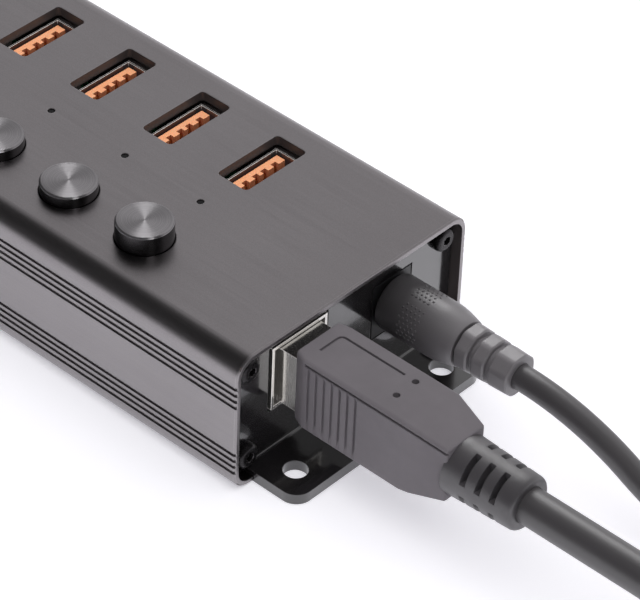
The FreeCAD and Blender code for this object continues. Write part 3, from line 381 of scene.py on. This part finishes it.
def make_materials():
    """One finish for each material slot that the record names."""
    return {
        "anodised_housing": anodised_housing(),
        "black_plate": gloss_plate(),
        "black_screw": screw_finish(),
        "circuit_board": circuit_board(),
        "black_component": grained("black_component", (0.016, 0.016, 0.017), 0.0, 0.4).material,
        "led_package": grained("led_package", (0.8, 0.8, 0.75), 0.0, 0.3).material,
        "clear_rod": painted_shade_rod(),
        "gold_contact": grained("gold_contact", (0.85, 0.62, 0.3), 1.0, 0.22, 0.3 * MM,
                                0.001 * MM, 0.05 * MM).material,
        "switch_case": grained("switch_case", (0.03, 0.03, 0.033), 0.0, 0.45).material,
        "nickel_shell": bright_shell(),
        "blue_insulator": grained("blue_insulator", (0.03, 0.07, 0.5), 0.0, 0.35).material,
        "nickel_pin": grained("nickel_pin", (0.78, 0.77, 0.74), 1.0, 0.2, 0.3 * MM, 0.001 * MM,
                              0.1 * MM).material,
        "soft_overmould": soft_mould("soft_overmould", (0.19, 0.175, 0.19), 0.5, 0.2),
        "cable_jacket": cable_skin(),
        "wire_core": grained("wire_core", (0.4, 0.04, 0.03), 0.0, 0.35).material,
        "orange_insulator": orange_plastic(),
        "button_metal": spun_metal(),
        "switch_plunger": grained("switch_plunger", (0.6, 0.6, 0.58), 0.0, 0.4).material,
        "spring_steel": grained("spring_steel", (0.6, 0.59, 0.57), 1.0, 0.25, 0.2 * MM,
                                0.001 * MM, 0.03 * MM).material,
    }


MATERIALS = make_materials()
RELIEF_MOULD = soft_mould("relief_overmould", (0.06, 0.056, 0.061), 0.4, 1.0)
POWER_MOULD = power_mould()


def dress_cad_nodes():
    """Give every CAD node the finish that its slot in the record names."""
    for part in frame["record"]["subparts"]:
        mesh = frame["nodes"][part["node"]].data
        mesh.materials.clear()
        mesh.materials.append(MATERIALS[part["material_slot"]])


# --------------------------------------------------------------- mesh helpers

def skin(rings, loop=False):
    """Points and faces of a closed skin through rings of points.

    A ring of one point is a pole. With loop, the last ring joins the first.
    """
    points = [point for ring in rings for point in ring]
    starts = [sum(len(ring) for ring in rings[:index]) for index in range(len(rings))]
    faces = []
    pairs = list(zip(range(len(rings)), range(1, len(rings))))
    if loop:
        pairs.append((len(rings) - 1, 0))
    for here, there in pairs:
        a, b = starts[here], starts[there]
        count = max(len(rings[here]), len(rings[there]))
        for i in range(count):
            j = (i + 1) % count
            if len(rings[here]) == 1:
                faces.append((a, b + j, b + i))
            elif len(rings[there]) == 1:
                faces.append((a + i, a + j, b))
            else:
                faces.append((a + i, a + j, b + j, b + i))
    if not loop:
        for start, ring in ((starts[0], rings[0]), (starts[-1], rings[-1])):
            if len(ring) > 1:
                faces.append(tuple(range(start, start + len(ring))))
    return points, faces


def new_object(name, points, faces, sharp_degrees=40.0):
    """A mesh object with outward faces, smooth except over sharp edges."""
    mesh = bpy.data.meshes.new(name)
    mesh.from_pydata([tuple(point) for point in points], [], faces)
    tidy = bmesh.new()
    tidy.from_mesh(mesh)
    bmesh.ops.recalc_face_normals(tidy, faces=tidy.faces)
    tidy.to_mesh(mesh)
    tidy.free()
    smooth_shade(mesh, sharp_degrees)
    obj = bpy.data.objects.new(name, mesh)
    bpy.context.scene.collection.objects.link(obj)
    return obj


def smooth_shade(mesh, sharp_degrees):
    mesh.polygons.foreach_set("use_smooth", [True] * len(mesh.polygons))
    mesh.set_sharp_from_angle(angle=math.radians(sharp_degrees))


def fit_out(obj, body, slot, *replaced, finish=None):
    """Finish a piece: its material, the body it rides on and the node it stands for."""
    obj.data.materials.clear()
    obj.data.materials.append(finish or MATERIALS[slot])
    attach(obj, body)
    if replaced:
        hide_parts(*replaced)
    return obj


def cut_away(obj, tools, sharp_degrees=30.0):
    """Take the tools' volumes out of an object, and delete the tools."""
    for tool in tools:
        modifier = obj.modifiers.new("cut", "BOOLEAN")
        modifier.operation = "DIFFERENCE"
        modifier.solver = "EXACT"
        modifier.object = tool
    bpy.context.view_layer.update()
    result = obj.evaluated_get(bpy.context.evaluated_depsgraph_get())
    mesh = bpy.data.meshes.new_from_object(result)
    obj.modifiers.clear()
    obj.data = mesh
    smooth_shade(mesh, sharp_degrees)
    for tool in tools:
        bpy.data.objects.remove(tool)


def circle(centre, side, up, radius, count=64):
    """A ring of points; radius is a number or a function of the angle."""
    ring = []
    for index in range(count):
        angle = 2 * math.pi * index / count
        reach = radius(angle) if callable(radius) else radius
        ring.append(centre + side * (reach * math.cos(angle)) + up * (reach * math.sin(angle)))
    return ring


def rounded_corner_profile(start, corner, end, radius, steps=5):
    """Points that round the corner between two straight runs of a profile."""
    start, corner, end = (Vector(point) for point in (start, corner, end))
    into = (start - corner).normalized() * radius
    out = (end - corner).normalized() * radius
    points = []
    for step in range(steps + 1):
        t = step / steps
        points.append((corner + into * (1 - t) ** 2 + out * t ** 2).to_tuple())
    return points


# -------------------------------------------------------------------- buttons

def make_button(number):
    """A turned cap: flat ringed top, small chamfer, straight side, hollow foot."""
    low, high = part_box(f"button_cap_{number}")
    centre = (low + high) / 2
    radius = (high.x - low.x) / 2
    chamfer = 0.3 * MM
    hollow = 2.2 * MM
    hollow_top = low.z + 5.0 * MM
    top_edge = [(radius, high.z - chamfer), (radius - chamfer, high.z)]
    profile = [(hollow, hollow_top), (hollow, low.z)]
    profile += rounded_corner_profile((0, low.z), (radius, low.z), (radius, high.z), 0.3 * MM)
    profile += rounded_corner_profile((radius, low.z), top_edge[0], top_edge[1], 0.1 * MM, 3)
    profile += rounded_corner_profile(top_edge[0], top_edge[1], (0, high.z), 0.1 * MM, 3)
    rings = [[Vector((0, 0, hollow_top - high.z))]]
    for reach, z in profile:
        rings.append(circle(Vector((0, 0, z - high.z)), Vector((1, 0, 0)), Vector((0, 1, 0)),
                            reach, 96))
    for step in range(1, 5):
        rings.append(circle(Vector((0, 0, 0)), Vector((1, 0, 0)), Vector((0, 1, 0)),
                            (radius - chamfer) * (1 - step / 5), 96))
    rings.append([Vector((0, 0, 0))])
    obj = new_object(f"turned_button_{number}", *skin(rings), 30.0)
    obj.location = (centre.x, centre.y, high.z)
    return fit_out(obj, f"button_{number}", "button_metal", f"button_cap_{number}")


# ------------------------------------------------------------------- USB plug

GRIP_LOW, GRIP_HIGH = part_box("usb_plug_overmould")
CABLE_LOW, CABLE_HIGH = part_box("usb_cable_jacket")
GRIP_MID_Y = (GRIP_LOW.y + GRIP_HIGH.y) / 2
SHOULDER = 24.6 * MM
BELLY_SHOULDER = 22.7 * MM
GRIP_LENGTH = 31.0 * MM
SIDE_STEPS = 8
CORNER_STEPS = 5
GROOVE_COUNT = 7
GROOVE_FIRST = 3.52 * MM
GROOVE_PITCH = 1.64 * MM
GROOVE_WIDTH = 0.42 * MM
GROOVE_WALL = 0.06 * MM
GROOVE_DEPTH = 0.42 * MM


def grip_section(along):
    """Half width to the left and right, top, bottom and corner radius of the grip."""
    half = (GRIP_HIGH.y - GRIP_LOW.y) / 2
    taper = max(0.0, (along - SHOULDER) / (GRIP_LENGTH - SHOULDER))
    belly = max(0.0, (along - BELLY_SHOULDER) / (GRIP_LENGTH - BELLY_SHOULDER))
    nose = max(0.0, 1.0 - along / (2.3 * MM))
    left = half - 1.4 * MM * taper - 1.0 * MM * nose
    right = half - 1.4 * MM * taper - 0.5 * MM * nose
    top = GRIP_HIGH.z - 1.7 * MM * taper
    bottom = GRIP_LOW.z + 2.0 * MM * belly
    return left, right, top, bottom, (0.7 - 0.25 * taper) * MM


def groove_depth(along):
    """How deep the side grooves are at this distance from the plug's start."""
    for index in range(GROOVE_COUNT):
        centre = GROOVE_FIRST + index * GROOVE_PITCH
        if abs(along - centre) < GROOVE_WIDTH / 2 + 1e-9:
            return GROOVE_DEPTH
    return 0.0


def grip_ring(along, inset=0.0):
    """A rounded rectangle across the grip, pressed in where a side groove runs."""
    left, right, top, bottom, corner = grip_section(along)
    corner = max(0.1 * MM, corner - inset)
    low_y, high_y = GRIP_MID_Y - left + inset, GRIP_MID_Y + right - inset
    low_z, high_z = bottom + inset, top - inset
    depth = groove_depth(along)
    x = GRIP_LOW.x + along
    ring = []
    corners = ((high_y - corner, low_z + corner, -90), (high_y - corner, high_z - corner, 0),
               (low_y + corner, high_z - corner, 90), (low_y + corner, low_z + corner, 180))
    for index, (y, z, start) in enumerate(corners):
        for step in range(CORNER_STEPS + 1):
            angle = math.radians(start + 90 * step / CORNER_STEPS)
            ring.append(Vector((x, y + corner * math.cos(angle), z + corner * math.sin(angle))))
        if index in (0, 2):
            from_z, to_z = (low_z + corner, high_z - corner)[::1 if index == 0 else -1]
            side_y = high_y if index == 0 else low_y
            inward = -1 if index == 0 else 1
            for step in range(1, SIDE_STEPS):
                z = from_z + (to_z - from_z) * step / SIDE_STEPS
                press = 0.0 if step in (1, SIDE_STEPS - 1) and index == 0 else depth
                ring.append(Vector((x, side_y + inward * press, z)))
    return ring


def grip_stations():
    """Distances along the grip at which its surface changes."""
    stations = [0.0, 0.2 * MM, 1.2 * MM, 2.3 * MM, 2.6 * MM]
    for index in range(GROOVE_COUNT):
        centre = GROOVE_FIRST + index * GROOVE_PITCH
        for offset in (-GROOVE_WIDTH / 2 - GROOVE_WALL, -GROOVE_WIDTH / 2, GROOVE_WIDTH / 2,
                       GROOVE_WIDTH / 2 + GROOVE_WALL):
            stations.append(centre + offset)
    stations += [16 * MM, 19 * MM, BELLY_SHOULDER, SHOULDER, 26.5 * MM, 28.6 * MM,
                 GRIP_LENGTH - 0.2 * MM, GRIP_LENGTH]
    return stations


def corner_line_tool():
    """A cutter for the line sunk in the grip's top: across, round a corner, then along."""
    top = GRIP_HIGH.z
    half_line, deep, bend = 0.23 * MM, 0.5 * MM, 0.9 * MM
    start, end = GRIP_LOW.x + 2.6 * MM, GRIP_LOW.x + 15.8 * MM
    near_y, far_y = GRIP_MID_Y - 2.1 * MM, GRIP_MID_Y + 2.85 * MM
    path = [(start, near_y, 0.0)]
    for step in range(7):
        turn = math.pi / 2 * step / 6
        path.append((start + bend * (1 - math.cos(turn)), far_y - bend * (1 - math.sin(turn)),
                     turn))
    path.append((end, far_y, math.pi / 2))
    rings = []
    for x, y, turn in path:
        out = Vector((-math.cos(turn), math.sin(turn), 0)) * half_line
        middle = Vector((x, y, 0))
        low, high = Vector((0, 0, top - deep)), Vector((0, 0, top + MM))
        rings.append([middle + out + low, middle + out + high, middle - out + high,
                      middle - out + low])
    return new_object("corner_line", *skin(rings))


def parting_line_tool():
    """A cutter for the mould line that runs just under the grip's top left edge."""
    rings = []
    for along in (GROOVE_FIRST - GROOVE_PITCH / 2, SHOULDER, GRIP_LENGTH + 0.1 * MM):
        left, _, top, _, _ = grip_section(along)
        x, side_y = GRIP_LOW.x + along, GRIP_MID_Y - left
        low_z, high_z = top - 1.15 * MM, top - 0.62 * MM
        out_y, in_y = side_y - MM, side_y + 0.45 * MM
        rings.append([Vector((x, out_y, low_z)), Vector((x, out_y, high_z)),
                      Vector((x, in_y, high_z)), Vector((x, in_y, low_z))])
    return new_object("parting_line", *skin(rings))


def dimple_tools():
    """Cutters for the two small round dimples in the grip's top."""
    tools = []
    for index, y in enumerate((GRIP_MID_Y - 1.6 * MM, GRIP_MID_Y + 2.8 * MM)):
        foot = Vector((GRIP_LOW.x + 18.05 * MM, y, GRIP_HIGH.z - 1.6 * MM))
        rings = [circle(foot + Vector((0, 0, rise)), Vector((1, 0, 0)), Vector((0, 1, 0)),
                        0.6 * MM, 24) for rise in (0.0, 3 * MM)]
        tools.append(new_object(f"dimple_{index}", *skin(rings)))
    return tools


def make_usb_grip():
    """The boxy grip: grooved sides, bevelled start and a tapering shoulder."""
    rings = [grip_ring(0.0, 0.2 * MM)]
    rings += [grip_ring(along) for along in grip_stations()[1:-1]]
    rings.append(grip_ring(GRIP_LENGTH, 0.18 * MM))
    obj = new_object("usb_plug_grip", *skin(rings), 30.0)
    cut_away(obj, [corner_line_tool(), parting_line_tool(), *dimple_tools()])
    fit_out(obj, "usb_lead", "soft_overmould", "usb_plug_overmould")


def make_usb_relief():
    """The slotted strain relief: three rings of four slots and a rounded end collar."""
    axis = Vector((GRIP_LOW.x, GRIP_MID_Y, (CABLE_LOW.z + CABLE_HIGH.z) / 2))
    start, end = GRIP_LENGTH - 0.5 * MM, GRIP_HIGH.x - GRIP_LOW.x
    thick, thin = 5.25 * MM, 4.7 * MM
    slot_depth, slot_width, wall, pitch = 1.7 * MM, 1.1 * MM, 0.08 * MM, 2.85 * MM
    slot_starts = [GRIP_LENGTH + 3.1 * MM + ring * pitch for ring in range(3)]
    half_slot = math.radians(31.0)

    def surface(along):
        share = (along - start) / (end - start)
        reach = thick + (thin - thick) * share
        cut = any(first + wall / 2 < along < first + slot_width - wall / 2
                  for first in slot_starts)

        def radius(angle):
            if not cut:
                return reach
            turn = (angle - math.pi / 4) % (math.pi / 2)
            gap = min(turn, math.pi / 2 - turn)
            edge = min(1.0, max(0.0, (half_slot - gap) / math.radians(3.0)))
            return reach - slot_depth * edge
        return radius

    stations = [start, start + 1.2 * MM, start + 2.2 * MM]
    for first in slot_starts:
        stations += [first, first + wall, first + slot_width - wall, first + slot_width]
    lip = 0.7 * MM
    stations += [end - 2.0 * MM, end - lip]
    side, up = Vector((0, 1, 0)), Vector((0, 0, 1))
    rings = [circle(axis + Vector((along, 0, 0)), side, up, surface(along), 144)
             for along in stations]
    for step in range(1, 6):
        angle = math.pi / 2 * step / 5
        rings.append(circle(axis + Vector((end - lip * (1 - math.sin(angle)), 0, 0)), side,
                            up, thin - lip * (1 - math.cos(angle)), 144))
    bore = (CABLE_HIGH.z - CABLE_LOW.z) / 2 + 0.02 * MM
    bore_end = CABLE_LOW.x - GRIP_LOW.x
    rings.append(circle(axis + Vector((end, 0, 0)), side, up, bore, 144))
    rings.append(circle(axis + Vector((bore_end, 0, 0)), side, up, bore, 144))
    rings.append([axis + Vector((bore_end, 0, 0))])
    obj = new_object("usb_plug_relief", *skin(rings), 35.0)
    return fit_out(obj, "usb_lead", "soft_overmould", finish=RELIEF_MOULD)


# ----------------------------------------------------------------- power plug

DC_AXIS_Y = (DC_PIN_LOW.y + DC_PIN_HIGH.y) / 2
DC_AXIS_Z = (DC_PIN_LOW.z + DC_PIN_HIGH.z) / 2
COLLAR_SIDES = 8


def eight_sided(across, rounding=1.045):
    """The radius of an eight-sided collar with this half width and rounded edges."""
    def radius(angle):
        half_turn = math.pi / COLLAR_SIDES
        turn = (angle + half_turn) % (2 * half_turn) - half_turn
        return min(across / math.cos(turn), across * rounding)
    return radius


def make_power_grip():
    """The round power plug, its shoulder and three spaced collars behind it."""
    axis = Vector((DC_LOW.x, DC_AXIS_Y, DC_AXIS_Z))
    grip = (DC_HIGH.z - DC_LOW.z) / 2
    core = 2.85 * MM
    length = DC_HIGH.x - DC_LOW.x
    runs = [(0.0, grip - 0.5 * MM), (0.15 * MM, grip - 0.2 * MM), (0.5 * MM, grip),
            (6 * MM, grip), (10.4 * MM, grip), (11.6 * MM, grip - 0.06 * MM),
            (13.0 * MM, grip - 0.27 * MM), (14.4 * MM, grip - 0.6 * MM),
            (15.5 * MM, grip - 0.9 * MM), (15.6 * MM, grip - 1.0 * MM), (15.62 * MM, core),
            (15.98 * MM, core)]
    collars = ((16.0 * MM, 18.45 * MM, 3.92 * MM, 3.84 * MM),
               (19.45 * MM, 21.9 * MM, 3.8 * MM, 3.72 * MM),
               (22.9 * MM, length, 3.68 * MM, 3.58 * MM))
    side, up = Vector((0, 1, 0)), Vector((0, 0, 1))
    rings = [circle(axis + Vector((along, 0, 0)), side, up, reach, 96) for along, reach in runs]
    for start, end, wide, narrow in collars:
        for along, reach in ((start, core), (start, wide - 0.18 * MM), (start + 0.18 * MM, wide),
                             (end - 0.25 * MM, narrow), (end, narrow - 0.25 * MM), (end, core)):
            shape = core if reach == core else eight_sided(reach)
            rings.append(circle(axis + Vector((along, 0, 0)), side, up, shape, 96))
    bore, bore_end = 2.22 * MM, Vector((length - 7 * MM, 0, 0))
    rings.append(circle(axis + Vector((length, 0, 0)), side, up, bore, 96))
    rings.append(circle(axis + bore_end, side, up, bore, 96))
    rings.append([axis + bore_end])
    obj = new_object("power_plug_grip", *skin(rings), 35.0)
    return fit_out(obj, "dc_lead", "soft_overmould", "dc_plug_overmould", finish=POWER_MOULD)


def make_grip_dots():
    """Two patches of small raised dots on the power plug, either side of its seam."""
    reach = (DC_HIGH.z - DC_LOW.z) / 2 - 0.1 * MM
    dot, pitch, row_degrees, columns = 0.27 * MM, 0.85 * MM, 9.5, 5
    first_x = DC_LOW.x + 4.9 * MM
    dots = bmesh.new()
    for first, last in ((-102, -34), (-16, 40)):
        rows = int((last - first) / row_degrees) + 1
        for row in range(rows):
            angle = math.radians(first + row_degrees * row)
            shift = pitch / 2 if row % 2 else 0.0
            for column in range(columns):
                centre = Vector((first_x + column * pitch + shift,
                                 DC_AXIS_Y + reach * math.sin(angle),
                                 DC_AXIS_Z + reach * math.cos(angle)))
                bmesh.ops.create_icosphere(dots, subdivisions=1, radius=dot,
                                           matrix=Matrix.Translation(centre))
    mesh = bpy.data.meshes.new("power_plug_dots")
    dots.to_mesh(mesh)
    dots.free()
    smooth_shade(mesh, 80.0)
    obj = bpy.data.objects.new("power_plug_dots", mesh)
    bpy.context.scene.collection.objects.link(obj)
    fit_out(obj, "dc_lead", "soft_overmould", finish=POWER_MOULD)


# --------------------------------------------------------------------- cables

def tube(name, path, outer, inner, count=48):
    """A hollow jacket along a path in a vertical plane, its cut ends slightly rounded."""
    tangents = []
    for index in range(len(path)):
        before, after = path[max(0, index - 1)], path[min(len(path) - 1, index + 1)]
        tangents.append((after - before).normalized())
    side = Vector((0, 1, 0))
    soft = 0.2 * MM
    rings = []
    last = len(path) - 1
    for index, (point, tangent) in enumerate(zip(path, tangents)):
        up = tangent.cross(side) * -1
        if index in (0, last):
            rings.append(circle(point, side, up, outer - soft, count))
            shift = tangent * soft if index == 0 else tangent * -soft
            full_ring = circle(point + shift, side, up, outer, count)
            rings.insert(len(rings) if index == 0 else -1, full_ring)
        else:
            rings.append(circle(point, side, up, outer, count))
    for index in range(last, -1, -1):
        up = tangents[index].cross(side) * -1
        rings.append(circle(path[index], side, up, inner, count))
    return new_object(name, *skin(rings, loop=True), 50.0)


def make_usb_cable():
    """The thick data cable, straight along the plug's axis."""
    middle = (CABLE_LOW + CABLE_HIGH) / 2
    length, steps = CABLE_HIGH.x - CABLE_LOW.x, 40
    path = [Vector((CABLE_LOW.x + length * step / steps, middle.y, middle.z))
            for step in range(steps + 1)]
    obj = tube("usb_cable", path, (CABLE_HIGH.y - CABLE_LOW.y) / 2, 2.3 * MM)
    return fit_out(obj, "usb_lead", "cable_jacket", "usb_cable_jacket")


def make_power_cable():
    """The thin power cable: level, down through two equal bends, level again."""
    low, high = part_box("dc_cable_jacket")
    outer = (high.y - low.y) / 2
    bend, straight = 50.0 * MM, 8.5 * MM
    drop = high.z - low.z - 2 * outer
    turn = math.acos(1 - drop / (2 * bend))
    start = Vector((low.x, DC_AXIS_Y, high.z - outer))
    path = [start, start + Vector((straight / 2, 0, 0))]
    steps = 24
    first = start + Vector((straight, 0, 0))
    for step in range(steps + 1):
        angle = turn * step / steps
        path.append(first + Vector((bend * math.sin(angle), 0, bend * (math.cos(angle) - 1))))
    foot = first + Vector((2 * bend * math.sin(turn), 0, -drop))
    for step in range(1, steps + 1):
        angle = turn * (1 - step / steps)
        path.append(foot + Vector((-bend * math.sin(angle), 0, bend * (1 - math.cos(angle)))))
    path.append(Vector((high.x, DC_AXIS_Y, foot.z)))
    obj = tube("power_cable", path, outer, 1.5 * MM)
    return fit_out(obj, "dc_lead", "cable_jacket", "dc_cable_jacket")


# -------------------------------------------------------------- studio, camera

def make_floor():
    """A wide pale table top, level with the hub's underside."""
    size = 3.0
    low_z = CAD_BOX[0][2]
    corners = [(-size, -size, low_z), (size, -size, low_z), (size, size, low_z),
               (-size, size, low_z)]
    floor = new_object("floor", corners, [(0, 1, 2, 3)])
    finish = Finish("pale_table", (0.93, 0.925, 0.945), 0.0, 0.7)
    finish.set("Roughness", finish.spread(finish.noise(40 * MM), 0.62, 0.78))
    finish.set("Specular IOR Level", 0.2)
    finish.set("Emission Color", (0.94, 0.93, 1.0, 1.0))
    finish.set("Emission Strength", 0.42)
    floor.data.materials.append(finish.material)


def make_world():
    """A pale studio, bright behind the hub and dark in front of it."""
    world = bpy.data.worlds.new("studio")
    bpy.context.scene.world = world
    world.use_nodes = True
    nodes, links = world.node_tree.nodes, world.node_tree.links
    direction = nodes.new("ShaderNodeTexCoord")
    parts = nodes.new("ShaderNodeSeparateXYZ")
    links.new(direction.outputs["Generated"], parts.inputs["Vector"])
    tone = nodes.new("ShaderNodeMapRange")
    tone.interpolation_type = "SMOOTHSTEP"
    for name, value in (("From Min", 0.16), ("From Max", 0.5), ("To Min", 0.05),
                        ("To Max", 0.68)):
        tone.inputs[name].default_value = value
    links.new(parts.outputs["Y"], tone.inputs["Value"])
    background = nodes["Background"]
    background.inputs["Color"].default_value = (1.0, 0.985, 1.0, 1.0)
    links.new(tone.outputs["Result"], background.inputs["Strength"])


def make_sun(name, toward, degrees, energy):
    """A distant soft light that comes from a direction."""
    data = bpy.data.lights.new(name, "SUN")
    data.energy = energy
    data.angle = math.radians(degrees)
    lamp = bpy.data.objects.new(name, data)
    lamp.rotation_euler = Vector(toward).to_track_quat("Z", "Y").to_euler()
    bpy.context.scene.collection.objects.link(lamp)
    return lamp


def make_lights(buttons, leads):
    """A broad fill that stays out of reflections, and small lights for gloss."""
    fill = make_sun("fill", (0.24, -0.2, 0.95), 70.0, 1.95)
    fill.visible_glossy = False
    gloss = (("button_top", buttons, (-0.31, 0.29, 0.905), 16.0, 0.45),
             ("button_side", buttons, (0.81, -0.3, 0.5), 16.0, 0.5),
             ("lead_top", leads, (-0.62, 0.5, 0.6), 36.0, 1.15))
    for name, objects, toward, degrees, energy in gloss:
        lamp = make_sun(name, toward, degrees, energy)
        receivers = bpy.data.collections.new(name)
        for obj in objects:
            receivers.objects.link(obj)
        lamp.light_linking.receiver_collection = receivers


def make_camera():
    """A long lens above the plug corner, looking down the hub, slightly off centre."""
    azimuth, elevation = math.radians(42.11), math.radians(39.75)
    roll = math.radians(1.79)
    distance = 620.24 * MM
    end_x = HOUSING_HIGH.x
    target = Vector((end_x - 21.44 * MM, 3.44 * MM, 10.0 * MM))
    away = Vector((math.sin(azimuth) * math.cos(elevation),
                   -math.cos(azimuth) * math.cos(elevation), math.sin(elevation)))
    data = bpy.data.cameras.new("camera")
    data.sensor_width = 36.0
    data.lens = 213.1
    data.shift_x = 0.0803
    data.shift_y = -0.0046
    data.clip_start = 0.05
    camera = bpy.data.objects.new("camera", data)
    look = (-away).to_track_quat("-Z", "Y").to_matrix().to_4x4()
    camera.matrix_world = (Matrix.Translation(target + away * distance) @ look
                           @ Matrix.Rotation(roll, 4, "Z"))
    bpy.context.scene.collection.objects.link(camera)
    bpy.context.scene.camera = camera
    bpy.context.scene.view_settings.view_transform = "Standard"


def main():
    dress_cad_nodes()
    buttons = [make_button(number) for number in PORTS]
    make_usb_grip()
    leads = [make_usb_relief(), make_power_grip(), make_usb_cable(), make_power_cable()]
    make_grip_dots()
    make_floor()
    make_world()
    make_lights(buttons, leads)
    make_camera()


main()
